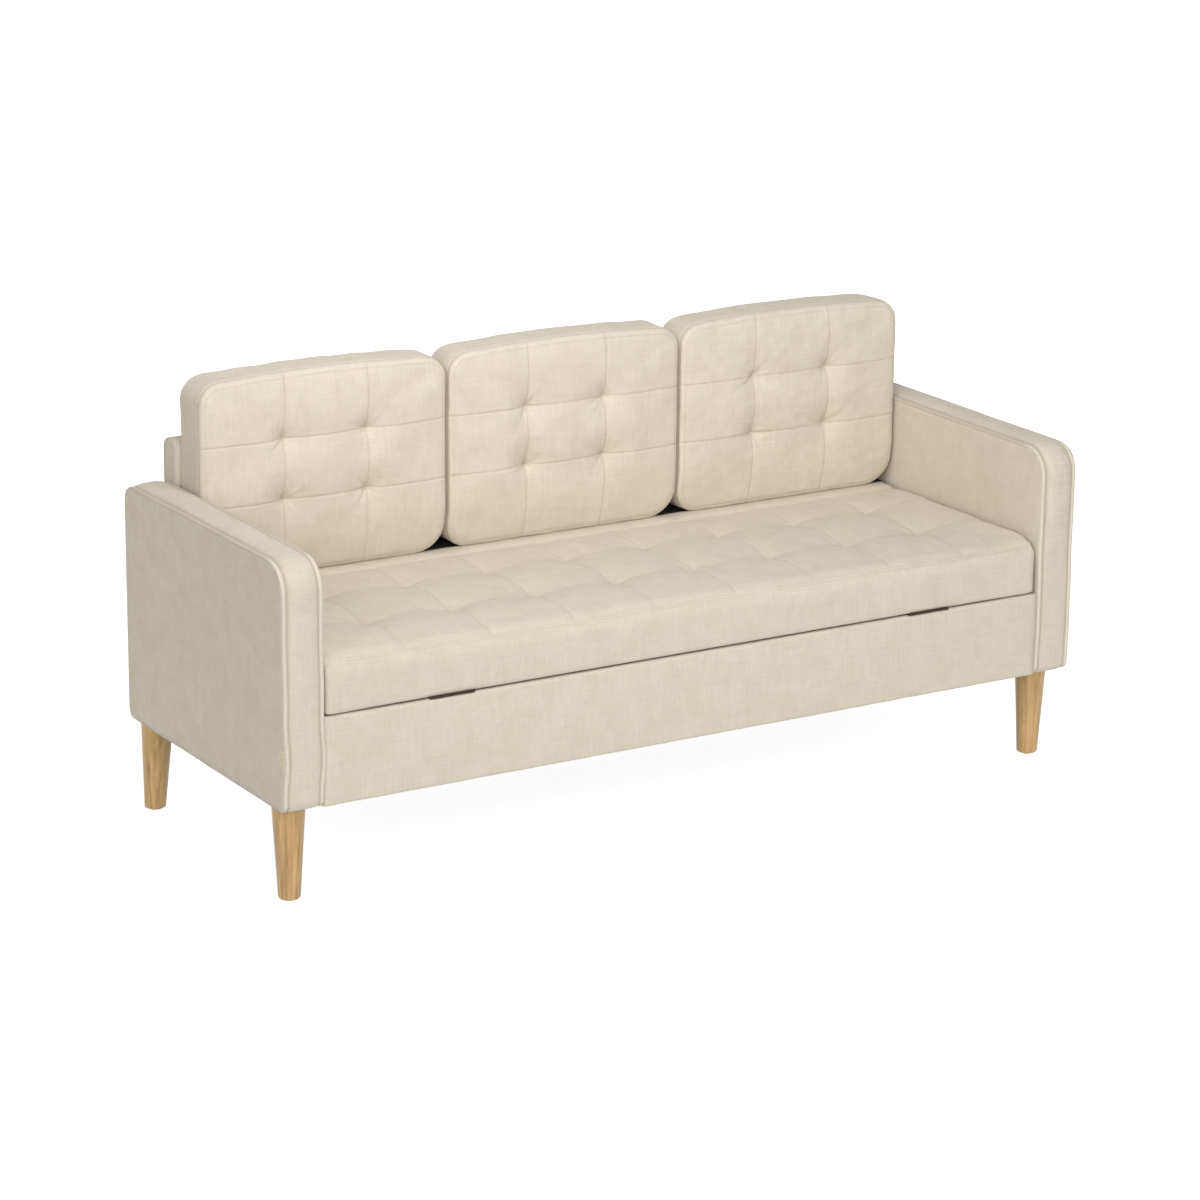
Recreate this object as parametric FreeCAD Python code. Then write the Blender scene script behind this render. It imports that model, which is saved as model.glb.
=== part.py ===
import FreeCAD, Part
import math
import os

os.makedirs("parts", exist_ok=True)

# Storage sofa with a lift-up seat, all sizes in millimetres.
# X runs along the width, the front faces -Y, +Z is up.
# The origin lies on the floor, under the middle of the sofa.

# Overall sizes
overall_width = 1665.0
overall_depth = 620.0
overall_height = 820.0
body_underside = 180.0
hem_thickness = 2.0

# Arms
arm_thickness = 77.5
arm_top = 615.0
arm_front_top_radius = 55.0
arm_rear_top_radius = 35.0
arm_bottom_radius = 18.0
arm_bottom_rail_height = 60.0
arm_rail_width = 40.0
arm_mid_rail_height = 30.0
arm_board_thickness = 3.0
piping_radius = 4.0
piping_proud = 1.0
piping_foot_run = 21.0
cover_thickness = 2.0
arm_padding_thickness = 8.0

# Back frame
back_setback = 6.0
back_thickness = 52.0
back_top = 695.0
back_top_radius = 24.0
back_padding_thickness = 5.0
back_panel_thickness = 3.0
back_rail_height = 40.0
back_rail_count = 4
back_post_width = 40.0
back_lining_thickness = 1.0
back_lining_height = 170.0

# Front panel and storage box
front_setback = 2.0
front_panel_top = 337.0
front_padding_thickness = 5.0
front_board_thickness = 12.0
rail_thickness = 28.0
rail_height = 54.0
bearer_height = 14.0
ledger_width = 14.0
mid_bearer_width = 40.0
mid_bearer_end_gap = 275.0
floor_thickness = 6.0
end_board_thickness = 12.0
end_board_top_gap = 6.0
rear_board_thickness = 9.0
dust_cover_thickness = 1.0

# Lift-up seat
lid_end_clearance = 5.0
lid_gap = 3.0
lid_thickness = 97.0
lid_rear_radius = 30.0
lid_front_radius = 25.0
front_bulge = 3.0
seat_wall = 8.0
lid_side_wall = 5.0
lid_lining_thickness = 1.0
lid_frame_height = 40.0
lid_rail_width = 30.0
lid_rail_count = 4
lid_board_thickness = 9.0
seat_tuft_edge = 162.0
seat_tuft_columns = 8
front_tuft_setback = 149.0
rear_tuft_setback = 146.0
seat_dome = 3.0
seat_puff = 11.0
seat_rear_crown = 1.0
seat_tuft_depth = 3.0
seat_end_drop = 12.0
seat_end_round = 18.0

# Seat hinges
hinge_axis_drop = 31.0
hinge_axis_gap = 8.0
knuckle_radius = 7.5
hinge_pin_radius = 3.5
running_clearance = 0.05
knuckle_length = 16.0
knuckle_count = 5
knuckle_gap = 0.5
leaf_thickness = 2.0
leaf_drop = 56.0
leaf_top_gap = 1.0
leaf_screw_share = 0.25
hinge_rail_depth = 30.0
hinge_rail_top_drop = 2.0
pin_head_radius = 5.0
pin_head_length = 2.0

# Screws and bolts
screw_radius = 2.0
screw_head_radius = 4.0
screw_head_height = 1.5
screw_length = 18.0
bracket_screw_length = 12.0
arm_bolt_radius = 4.0
arm_bolt_head_radius = 8.0
arm_bolt_head_height = 4.5
arm_bolt_length = 50.0
arm_bolt_rise = 44.0
arm_bolt_front_setback = 110.0
arm_bolt_rear_setback = 250.0

# Gas struts
strut_end_gap = 35.0
strut_base_back = 18.0
strut_base_rise = 20.0
strut_lid_drop = 9.0
strut_tube_radius = 9.0
strut_bore_radius = 8.0
strut_rod_radius = 4.0
strut_tube_setback = 21.2
strut_guide_length = 5.0
strut_plug_start = 10.0
strut_plug_length = 4.0
strut_piston_start = 2.2
strut_piston_length = 4.0
strut_piston_clearance = 0.1
eye_radius = 7.0
eye_width = 8.0
eye_pin_radius = 3.0
eye_collar_radius = 5.0
eye_gap = 0.5
bracket_thickness = 2.5
bracket_half_length = 20.0
bracket_screw_share = 0.7
bracket_foot_share = 0.7

# Shelf behind the seat and the loose back cushions
shelf_depth = 92.0
shelf_rise = 3.0
shelf_side_gap = 1.0
shelf_front_gap = 20.0
shelf_thickness = 10.0
shelf_lining_thickness = 2.0
shelf_bearer_width = 16.0
shelf_rear_ledger_height = 18.0
cushion_side_gap = 5.0
cushion_gap = 0.6
cushion_front_gap = 8.0
cushion_rear_clearance = 0.4
cushion_corner_radius = 55.0
cushion_top_dome = 10.0
cushion_bottom_front_radius = 39.0
cushion_top_front_radius = 14.0
cushion_edge_radius = 12.0
cushion_side_draw = 3.0
cushion_column_share = 0.166
cushion_lower_row_share = 0.383
cushion_upper_row_share = 0.678
cushion_dome = 9.0
cushion_least_dome = 1.0
cushion_crown = 0.5
cushion_puff = 9.0
cushion_seam_dome_share = 0.7
cushion_seam_puff_share = 0.3
cushion_row_dome_share = 0.8
cushion_outer_bulge_share = 0.75
cushion_top_width_share = 1.3
cushion_rear_fall_share = 0.5
cushion_tuft_depth = 11.0
cushion_rear_bulge = 22.0
cushion_core_side = 48.0
cushion_core_end = 36.0
cushion_core_depth_margin = 11.0

# Legs
leg_top_radius = 30.0
leg_foot_radius = 19.5
leg_foot_chamfer = 2.0
leg_blank_extra = 30.0
leg_plate_size = 50.0
leg_plate_thickness = 2.5
leg_plate_screw_offset = 18.0
front_leg_setback = 63.0
rear_leg_top_setback = 38.0
rear_leg_foot_setback = 21.0
glide_radius = 13.0
glide_thickness = 2.0
hanger_bolt_radius = 4.0
hanger_bolt_in_leg = 30.0
hanger_bolt_in_rail = 22.0

# Dark rest pads between the lid and the front panel
bumper_length = 88.0
bumper_end_gap = 250.0
bumper_front_inset = 1.0
bumper_depth = 16.0

# Shares at which the cross-sections of the soft forms are drawn
loft_steps = (0.12, 0.3, 0.5, 0.7, 0.88)
corner_steps = (0.05, 0.22, 0.5)
dome_steps = (0.6, 0.25)
end_steps = (0.1, 0.4)
puff_power = 0.7

# How far a cutting shape runs past the face it cuts
cut_overlap = 1.0

# Derived places
half_width = overall_width / 2
half_depth = overall_depth / 2
inner_x = half_width - arm_thickness
frame_bottom = body_underside + hem_thickness
arm_frame_inset = piping_proud + cover_thickness + arm_padding_thickness
arm_center_x = (half_width + inner_x) / 2

back_front_y = half_depth - back_setback - back_thickness
front_face_y = -half_depth + front_setback
front_board_y = front_face_y + cover_thickness + front_padding_thickness
front_board_rear_y = front_board_y + front_board_thickness
front_panel_rear_y = front_board_rear_y + cover_thickness
box_front_y = front_panel_rear_y + rail_thickness

lid_half = inner_x - lid_end_clearance
lid_front_y = -half_depth + front_bulge
lid_rear_y = back_front_y - shelf_depth
lid_underside = front_panel_top + lid_gap
seat_edge_height = lid_underside + lid_thickness
hinge_y = lid_rear_y + hinge_axis_gap
hinge_z = seat_edge_height - hinge_axis_drop
rail_face_y = hinge_y + hinge_axis_gap
hinge_rail_rear_y = rail_face_y + hinge_rail_depth
hinge_rail_top = hinge_z - hinge_rail_top_drop

floor_bottom = frame_bottom + bearer_height
floor_top = floor_bottom + floor_thickness
box_top = front_panel_top - end_board_top_gap
end_board_face_x = inner_x - end_board_thickness

cavity_front_y = lid_front_y + lid_side_wall + cover_thickness
cavity_rear_y = lid_rear_y - seat_wall
cavity_half = lid_half - lid_side_wall
lid_frame_bottom = lid_underside + lid_lining_thickness
lid_board_bottom = lid_frame_bottom + lid_frame_height
foam_bottom = lid_board_bottom + lid_board_thickness
foam_top = seat_edge_height - seat_tuft_depth - seat_wall
seat_tuft_pitch = 2 * (lid_half - seat_tuft_edge) / (seat_tuft_columns - 1)
front_tuft_row_y = lid_front_y + front_tuft_setback
rear_tuft_row_y = lid_rear_y - rear_tuft_setback
arm_bolt_front_y = -half_depth + arm_bolt_front_setback
arm_bolt_rear_y = half_depth - arm_bolt_rear_setback
mid_bearer_x = inner_x - mid_bearer_end_gap
bumper_x = inner_x - bumper_end_gap

shelf_top = seat_edge_height + shelf_rise
shelf_front_y = hinge_y + shelf_front_gap
shelf_board_top = shelf_top - shelf_lining_thickness
shelf_board_bottom = shelf_board_top - shelf_thickness
lining_front_y = back_front_y - back_lining_thickness
shelf_half = inner_x - shelf_side_gap

cushion_width = 2 * (inner_x - cushion_side_gap) / 3
cushion_front_y = hinge_y + cushion_front_gap
cushion_rear_y = lining_front_y - cushion_rear_clearance
cushion_half = (cushion_width - cushion_gap) / 2
cushion_centers = {"left": -cushion_width, "middle": 0.0, "right": cushion_width}
cushion_height = overall_height - shelf_top
cushion_column_half = cushion_column_share * cushion_width
cushion_lower_row_z = shelf_top + cushion_lower_row_share * cushion_height
cushion_upper_row_z = shelf_top + cushion_upper_row_share * cushion_height

strut_x = inner_x - strut_end_gap
strut_base = (hinge_y - strut_base_back, floor_top + strut_base_rise)
strut_arm = math.hypot(strut_base_back, hinge_z - strut_base[1])
strut_lid_z = lid_underside - strut_lid_drop
strut_lid = (hinge_y - math.sqrt(strut_arm**2 - (hinge_z - strut_lid_z) ** 2), strut_lid_z)
strut_length = math.hypot(strut_lid[0] - strut_base[0], strut_lid[1] - strut_base[1])
strut_angle = math.degrees(math.atan2(strut_lid[1] - strut_base[1], strut_lid[0] - strut_base[0]))

strut_bore_start = strut_plug_start + strut_plug_length
strut_tube_end = strut_length - strut_tube_setback
strut_piston_y = strut_bore_start + strut_piston_start

leg_top = frame_bottom - leg_plate_thickness
front_leg_y = -half_depth + front_leg_setback
rear_leg_top_y = half_depth - rear_leg_top_setback
rear_leg_foot_y = half_depth - rear_leg_foot_setback


def vec(x, y, z):
    return FreeCAD.Vector(x, y, z)


def box(x0, x1, y0, y1, z0, z1):
    return Part.makeBox(x1 - x0, y1 - y0, z1 - z0, vec(x0, y0, z0))


def cylinder(start, direction, radius, length):
    return Part.makeCylinder(radius, length, start, direction)


def along_x(radius, x0, x1, y, z):
    return cylinder(vec(x0, y, z), vec(1, 0, 0), radius, x1 - x0)


def mirrored(shape):
    return shape.mirror(vec(0, 0, 0), vec(1, 0, 0))


def group(shapes):
    return Part.makeCompound(shapes)


def cut_all(shape, tools):
    for tool in tools:
        shape = shape.cut(tool)
    return shape


def fuse_all(shapes):
    result = shapes[0]
    for shape in shapes[1:]:
        result = result.fuse(shape)
    return result.removeSplitter()


def arc(a, middle, b):
    return Part.Arc(a, middle, b).toShape()


def line(a, b):
    return Part.makeLine(a, b)


def rounded_edges(corners, closed=True):
    # Straight runs joined by tangent arcs. A corner is a point and its radius.
    count = len(corners)
    starts = []
    ends = []
    arcs = []
    for i, (point, radius) in enumerate(corners):
        is_end = not closed and i in (0, count - 1)
        if radius <= 0 or is_end:
            starts.append(point)
            ends.append(point)
            arcs.append(None)
            continue
        before = (corners[i - 1][0] - point).normalize()
        after = (corners[(i + 1) % count][0] - point).normalize()
        half_angle = before.getAngle(after) / 2
        reach = radius / math.tan(half_angle)
        bisector = (before + after).normalize()
        middle = point + bisector * (radius / math.sin(half_angle) - radius)
        starts.append(point + before * reach)
        ends.append(point + after * reach)
        arcs.append(middle)
    edges = []
    for i in range(count):
        if arcs[i] is not None:
            edges.append(arc(starts[i], arcs[i], ends[i]))
        if closed or i < count - 1:
            edges.append(line(ends[i], starts[(i + 1) % count]))
    return edges


def prism_x(corners, x0, x1):
    # Extrudes an outline in the YZ plane along X.
    points = [(vec(x0, y, z), radius) for y, z, radius in corners]
    face = Part.Face(Part.Wire(rounded_edges(points)))
    return face.extrude(vec(x1 - x0, 0, 0))


def screw(head_point, direction, length=screw_length):
    # A pan-head wood screw: the head stands proud of head_point, against direction.
    shank = cylinder(head_point, direction, screw_radius, length)
    head = cylinder(head_point - direction * screw_head_height, direction,
                    screw_head_radius, screw_head_height)
    return shank.fuse(head).removeSplitter()


def countersunk(head_point, direction):
    # A countersunk wood screw whose head is flush with head_point.
    shank = cylinder(head_point, direction, screw_radius, screw_length)
    head = Part.makeCone(screw_head_radius, screw_radius, leg_plate_thickness, head_point, direction)
    return shank.fuse(head).removeSplitter()


def arm_outline(inset, bottom):
    # The arm's side view, drawn in by inset, standing on the height bottom.
    front = -half_depth + inset
    rear = half_depth - inset
    top = arm_top - inset
    low = max(arm_bottom_radius - inset, 0)
    return [
        (front, bottom, low),
        (front, top, arm_front_top_radius - inset),
        (rear, top, arm_rear_top_radius - inset),
        (rear, bottom, low),
    ]


def arm_block(inset, bottom):
    return prism_x(arm_outline(inset, bottom), inner_x + inset, half_width - inset)


def arm_piping_cord(x):
    # One welt cord, from the lower front corner over the top to the lower rear corner.
    front = -half_depth + piping_radius
    rear = half_depth - piping_radius
    top = arm_top - piping_radius
    low = body_underside + piping_radius
    low_radius = arm_bottom_radius - piping_radius
    start = vec(x, front + piping_foot_run, low)
    corners = [
        (start, 0),
        (vec(x, front, low), low_radius),
        (vec(x, front, top), arm_front_top_radius - piping_radius),
        (vec(x, rear, top), arm_rear_top_radius - piping_radius),
        (vec(x, rear, low), low_radius),
        (vec(x, rear - piping_foot_run, low), 0),
    ]
    path = Part.Wire(rounded_edges(corners, closed=False))
    section = Part.Wire(Part.makeCircle(piping_radius, start, vec(0, -1, 0)))
    return path.makePipeShell([section], True, True)


def arm_pieces():
    # The right-hand arm; the left-hand one is its mirror image.
    padding_inset = piping_proud + cover_thickness
    frame_block = arm_block(arm_frame_inset, frame_bottom)
    frame_front = -half_depth + arm_frame_inset
    frame_rear = half_depth - arm_frame_inset
    frame_top = arm_top - arm_frame_inset
    board_in = inner_x + arm_frame_inset + arm_board_thickness
    board_out = half_width - arm_frame_inset - arm_board_thickness

    piping = [arm_piping_cord(inner_x + piping_radius), arm_piping_cord(half_width - piping_radius)]

    hem_opening = box(inner_x + arm_frame_inset, half_width - arm_frame_inset,
                      frame_front, frame_rear, body_underside - cut_overlap, frame_bottom + cut_overlap)
    cover = arm_block(piping_proud, body_underside)
    cover = cut_all(cover, [arm_block(padding_inset, frame_bottom), hem_opening] + piping)
    padding = cut_all(arm_block(padding_inset, frame_bottom), [frame_block] + piping)

    inner_board = frame_block.common(box(inner_x, board_in, -half_depth, half_depth, 0, arm_top))
    outer_board = frame_block.common(box(board_out, half_width, -half_depth, half_depth, 0, arm_top))

    def member(y0, y1, z0, z1):
        return frame_block.common(box(board_in, board_out, y0, y1, z0, z1))

    rail_top = frame_bottom + arm_bottom_rail_height
    rail_under = frame_top - arm_rail_width
    post_front = frame_front + arm_rail_width
    post_rear = frame_rear - arm_rail_width
    window = (rail_under - rail_top - 2 * arm_mid_rail_height) / 3
    lower_mid = rail_top + window
    upper_mid = lower_mid + arm_mid_rail_height + window
    frame = [
        member(frame_front, frame_rear, frame_bottom, rail_top),
        member(frame_front, frame_rear, rail_under, frame_top),
        member(frame_front, post_front, rail_top, rail_under),
        member(post_rear, frame_rear, rail_top, rail_under),
        member(post_front, post_rear, lower_mid, lower_mid + arm_mid_rail_height),
        member(post_front, post_rear, upper_mid, upper_mid + arm_mid_rail_height),
    ]
    return cover, padding, [inner_board, outer_board], frame, piping


def arm_bolts():
    # Bolts from inside the storage box into the arm's bottom rail.
    bolts = []
    z = body_underside + arm_bolt_rise
    for y in (arm_bolt_front_y, arm_bolt_rear_y):
        shank = along_x(arm_bolt_radius, end_board_face_x, end_board_face_x + arm_bolt_length, y, z)
        head = along_x(arm_bolt_head_radius, end_board_face_x - arm_bolt_head_height, end_board_face_x, y, z)
        bolts.append(shank.fuse(head).removeSplitter())
    return bolts


def leg_axis(top_y, foot_y):
    foot = vec(arm_center_x, foot_y, 0)
    top = vec(arm_center_x, top_y, leg_top)
    return foot, top, (top - foot).normalize()


def leg_blank(top_y, foot_y):
    # A round tapered leg, cut level at the plate and at the glide.
    foot, top, axis = leg_axis(top_y, foot_y)
    length = (top - foot).Length
    grow = leg_blank_extra * (leg_top_radius - leg_foot_radius) / length
    cone = Part.makeCone(leg_foot_radius - grow, leg_top_radius + grow,
                         length + 2 * leg_blank_extra, foot - axis * leg_blank_extra, axis)
    reach = 2 * leg_top_radius
    y0 = min(top_y, foot_y) - reach
    y1 = max(top_y, foot_y) + reach
    span = box(arm_center_x - reach, arm_center_x + reach, y0, y1, glide_thickness, leg_top)
    wide = leg_foot_radius + 2 * leg_foot_chamfer
    narrow = leg_foot_radius - leg_foot_chamfer
    chamfer = Part.makeCone(narrow, wide, wide - narrow, vec(arm_center_x, foot_y, glide_thickness))
    upper = box(arm_center_x - reach, arm_center_x + reach, y0, y1,
                glide_thickness + wide - narrow - leg_foot_chamfer, leg_top)
    return cone.common(span).common(chamfer.fuse(upper))


def leg_set(top_y, foot_y):
    # One leg with its plate, plate screws, hanger bolt and glide, on the right-hand side.
    _, top, axis = leg_axis(top_y, foot_y)
    bolt = cylinder(top - axis * hanger_bolt_in_leg, axis, hanger_bolt_radius,
                    hanger_bolt_in_leg + hanger_bolt_in_rail)
    half = leg_plate_size / 2
    plate = box(arm_center_x - half, arm_center_x + half, top_y - half, top_y + half,
                leg_top, frame_bottom)
    screws = []
    for dx in (-leg_plate_screw_offset, leg_plate_screw_offset):
        for dy in (-leg_plate_screw_offset, leg_plate_screw_offset):
            screws.append(countersunk(vec(arm_center_x + dx, top_y + dy, leg_top), vec(0, 0, 1)))
    plate = cut_all(plate, [bolt] + screws)
    glide = cylinder(vec(arm_center_x, foot_y, 0), vec(0, 0, 1), glide_radius, glide_thickness)
    leg = leg_blank(top_y, foot_y).cut(bolt)
    return leg, plate, screws, bolt, glide


def back_outline(inset, bottom):
    front = back_front_y + inset
    rear = back_front_y + back_thickness - inset
    top = back_top - inset
    radius = back_top_radius - inset
    return [(front, bottom, 0), (front, top, radius), (rear, top, radius), (rear, bottom, 0)]


def back_pieces():
    frame_half = inner_x - cover_thickness
    pad_inset = cover_thickness
    frame_inset = cover_thickness + back_padding_thickness
    hollow = prism_x(back_outline(pad_inset, body_underside - cut_overlap), -frame_half, frame_half)
    cover = prism_x(back_outline(0, body_underside), -inner_x, inner_x).cut(hollow)
    core = prism_x(back_outline(frame_inset, frame_bottom), -frame_half, frame_half)
    padding = prism_x(back_outline(pad_inset, frame_bottom), -frame_half, frame_half).cut(core)
    panel_rear = back_front_y + frame_inset + back_panel_thickness
    panel = core.common(box(-inner_x, inner_x, back_front_y, panel_rear, 0, back_top))
    timber = core.cut(panel)

    post_inner = frame_half - back_post_width
    rear = back_front_y + back_thickness
    top = back_top - frame_inset
    frame = [
        timber.common(box(-frame_half, -post_inner, back_front_y, rear, 0, back_top)),
        timber.common(box(post_inner, frame_half, back_front_y, rear, 0, back_top)),
    ]
    pitch = (top - frame_bottom - back_rail_height) / (back_rail_count - 1)
    for i in range(back_rail_count):
        z = frame_bottom + i * pitch
        rail = box(-post_inner, post_inner, back_front_y, rear, z, z + back_rail_height)
        frame.append(timber.common(rail))

    lining = box(-shelf_half, shelf_half, lining_front_y, back_front_y,
                 shelf_top, shelf_top + back_lining_height)
    return cover, padding, panel, frame, lining


def front_pieces():
    outer = box(-inner_x, inner_x, front_face_y, front_panel_rear_y, body_underside, front_panel_top)
    pad_front = front_face_y + cover_thickness
    low = body_underside + hem_thickness
    high = front_panel_top - cover_thickness
    half = inner_x - cover_thickness
    cover = outer.cut(box(-half, half, pad_front, front_board_rear_y, low, high))
    padding = box(-half, half, pad_front, front_board_y, low, high)
    board = box(-half, half, front_board_y, front_board_rear_y, low, high)
    return cover, padding, board


def base_pieces():
    rail_top = frame_bottom + rail_height
    rear_rail_y = rail_face_y + rail_thickness
    rails = [
        box(-inner_x, inner_x, front_panel_rear_y, box_front_y, frame_bottom, rail_top),
        box(-inner_x, inner_x, rail_face_y, rear_rail_y, frame_bottom, rail_top),
    ]
    ledger_front = box_front_y + ledger_width
    ledger_rear = rail_face_y - ledger_width
    side = inner_x - rail_thickness
    bearers = [
        box(-inner_x, inner_x, box_front_y, ledger_front, frame_bottom, floor_bottom),
        box(-inner_x, inner_x, ledger_rear, rail_face_y, frame_bottom, floor_bottom),
        box(side, inner_x, ledger_front, ledger_rear, frame_bottom, floor_bottom),
        box(-inner_x, -side, ledger_front, ledger_rear, frame_bottom, floor_bottom),
    ]
    for x in (-mid_bearer_x, 0, mid_bearer_x):
        bearers.append(box(x - mid_bearer_width / 2, x + mid_bearer_width / 2,
                           ledger_front, ledger_rear, frame_bottom, floor_bottom))
    floor = box(-inner_x, inner_x, box_front_y, rail_face_y, floor_bottom, floor_top)
    end_board = box(end_board_face_x, inner_x, box_front_y, rail_face_y, floor_top, box_top)
    rear_board = box(-inner_x, inner_x, rail_face_y, rail_face_y + rear_board_thickness, rail_top, box_top)
    return rails, bearers, floor, end_board, rear_board


def dust_cover_pieces():
    # Thin black cloth under the body and under each arm, cut out round the leg plates.
    low = frame_bottom - dust_cover_thickness
    middle = box(-inner_x, inner_x, front_panel_rear_y, back_front_y, low, frame_bottom)
    arm_cloth = box(inner_x + arm_frame_inset, half_width - arm_frame_inset,
                    -half_depth + arm_frame_inset, half_depth - arm_frame_inset, low, frame_bottom)
    half = leg_plate_size / 2
    for y in (front_leg_y, rear_leg_top_y):
        arm_cloth = arm_cloth.cut(box(arm_center_x - half, arm_center_x + half, y - half, y + half,
                                      low - cut_overlap, frame_bottom + cut_overlap))
    return [middle] + arm_cloth.Solids + mirrored(arm_cloth).Solids


def puff(t):
    # The rise of stuffed cloth between two seams, from 0 at a seam to 1 midway.
    return math.sin(math.pi * t) ** puff_power


def seat_section(x):
    # One cross-section of the tufted seat, in the YZ plane.
    seams = [(k - (seat_tuft_columns - 1) / 2) * seat_tuft_pitch for k in range(seat_tuft_columns)]
    bounds = [-lid_half] + seams + [lid_half]
    t = 0.0
    for left, right in zip(bounds, bounds[1:]):
        if left <= x <= right:
            t = (x - left) / (right - left)
    rise = puff(min(max(t, 0.0), 1.0))
    from_end = lid_half - abs(x)
    drop = 0.0
    if from_end < seat_end_round:
        share = 1 - from_end / seat_end_round
        drop = seat_end_drop * (1 - math.sqrt(1 - share * share))
    edge = seat_edge_height - drop
    seam = edge + seat_dome * rise - seat_tuft_depth * (1 - rise)
    top_front = lid_front_y + lid_front_radius
    top_rear = lid_rear_y - lid_rear_radius
    half_root = math.sqrt(0.5)

    def point(y, z):
        return vec(x, y, z)

    def crowned(y0, z0, y1, z1, crown):
        return arc(point(y0, z0), point((y0 + y1) / 2, crown), point(y1, z1))

    front_foot = point(lid_front_y, lid_underside)
    front_top = point(lid_front_y, edge - lid_front_radius)
    front_middle = point(-half_depth, (lid_underside + edge - lid_front_radius) / 2)
    front_round = point(top_front - half_root * lid_front_radius,
                        edge - lid_front_radius + half_root * lid_front_radius)
    rear_round = point(top_rear + half_root * lid_rear_radius,
                       edge - lid_rear_radius + half_root * lid_rear_radius)
    rear_top = point(lid_rear_y, edge - lid_rear_radius)
    rear_foot = point(lid_rear_y, lid_underside)
    crown = edge + seat_dome + seat_puff * rise
    edges = [
        arc(front_foot, front_middle, front_top),
        arc(front_top, front_round, point(top_front, edge)),
        crowned(top_front, edge, front_tuft_row_y, seam, crown),
        crowned(front_tuft_row_y, seam, rear_tuft_row_y, seam, crown),
        crowned(rear_tuft_row_y, seam, top_rear, edge, edge + seat_dome * rise + seat_rear_crown),
        arc(point(top_rear, edge), rear_round, rear_top),
        line(rear_top, rear_foot),
        line(rear_foot, front_foot),
    ]
    return Part.Wire(edges)


def seat_stations():
    # Places along the seat where a cross-section is drawn.
    seams = [(k - (seat_tuft_columns - 1) / 2) * seat_tuft_pitch for k in range(seat_tuft_columns)]
    inner_end = lid_half - seat_end_round
    bounds = [-inner_end] + seams + [inner_end]
    stations = [-lid_half] + [-lid_half + seat_end_round * t for t in end_steps]
    for left, right in zip(bounds, bounds[1:]):
        stations.append(left)
        stations += [left + (right - left) * t for t in loft_steps]
    stations.append(inner_end)
    stations += [lid_half - seat_end_round * t for t in reversed(end_steps)]
    return stations + [lid_half]


def lid_pieces():
    shell = Part.makeLoft([seat_section(x) for x in seat_stations()], True, True)
    cavity = box(-cavity_half, cavity_half, cavity_front_y, cavity_rear_y,
                 lid_underside - cut_overlap, foam_top)
    cover = shell.cut(cavity)

    def layer(z0, z1):
        return box(-cavity_half, cavity_half, cavity_front_y, cavity_rear_y, z0, z1)

    lining = layer(lid_underside, lid_frame_bottom)
    board = layer(lid_board_bottom, foam_bottom)
    foam = layer(foam_bottom, foam_top)
    frame = []
    pitch = (cavity_rear_y - cavity_front_y - lid_rail_width) / (lid_rail_count - 1)
    end_x = cavity_half - lid_rail_width
    for i in range(lid_rail_count):
        y = cavity_front_y + i * pitch
        frame.append(box(-end_x, end_x, y, y + lid_rail_width, lid_frame_bottom, lid_board_bottom))
    for x0, x1 in ((-cavity_half, -end_x), (end_x, cavity_half)):
        frame.append(box(x0, x1, cavity_front_y, cavity_rear_y, lid_frame_bottom, lid_board_bottom))
    return cover, lining, frame, board, foam


def hinge_pieces():
    # Butt hinges whose knuckles lie in the gap between the lid and the hinge rail.
    base_leaves = []
    lid_leaves = []
    pins = []
    base_screws = []
    lid_screws = []
    width = knuckle_count * knuckle_length
    leaf_low = hinge_z - leaf_drop
    leaf_high = hinge_z - knuckle_radius - leaf_top_gap
    screw_z = leaf_low + leaf_screw_share * leaf_drop
    for center in cushion_centers.values():
        left = center - width / 2
        right = center + width / 2
        base = [box(left, right, rail_face_y - leaf_thickness, rail_face_y, leaf_low, leaf_high)]
        lid = [box(left, right, lid_rear_y, lid_rear_y + leaf_thickness, leaf_low, leaf_high)]
        for k in range(knuckle_count):
            x0 = left + k * knuckle_length + knuckle_gap / 2
            x1 = x0 + knuckle_length - knuckle_gap
            knuckle = along_x(knuckle_radius, x0, x1, hinge_y, hinge_z)
            if k % 2 == 0:
                web = box(x0, x1, rail_face_y - leaf_thickness, rail_face_y, leaf_low, hinge_z)
                base += [web, knuckle]
            else:
                web = box(x0, x1, lid_rear_y, lid_rear_y + leaf_thickness, leaf_low, hinge_z)
                lid += [web, knuckle]
        bore_left = left - cut_overlap
        bore_right = right + cut_overlap
        base_bore = along_x(hinge_pin_radius, bore_left, bore_right, hinge_y, hinge_z)
        lid_bore = along_x(hinge_pin_radius + running_clearance, bore_left, bore_right, hinge_y, hinge_z)
        base_leaf = fuse_all(base).cut(base_bore)
        lid_leaf = fuse_all(lid).cut(lid_bore)
        pin_left = left + knuckle_gap / 2
        pin_right = right - knuckle_gap / 2
        pins.append(fuse_all([
            along_x(hinge_pin_radius, pin_left - pin_head_length, pin_right + pin_head_length,
                    hinge_y, hinge_z),
            along_x(pin_head_radius, pin_left - pin_head_length, pin_left, hinge_y, hinge_z),
            along_x(pin_head_radius, pin_right, pin_right + pin_head_length, hinge_y, hinge_z),
        ]))
        for dx in (-width / 3, 0, width / 3):
            base_point = vec(center + dx, rail_face_y - leaf_thickness, screw_z)
            lid_point = vec(center + dx, lid_rear_y + leaf_thickness, screw_z)
            base_screws.append(screw(base_point, vec(0, 1, 0)))
            lid_screws.append(screw(lid_point, vec(0, -1, 0)))
        base_leaves.append(cut_all(base_leaf, base_screws[-3:]))
        lid_leaves.append(cut_all(lid_leaf, lid_screws[-3:]))
    return base_leaves, lid_leaves, pins, base_screws, lid_screws


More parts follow.
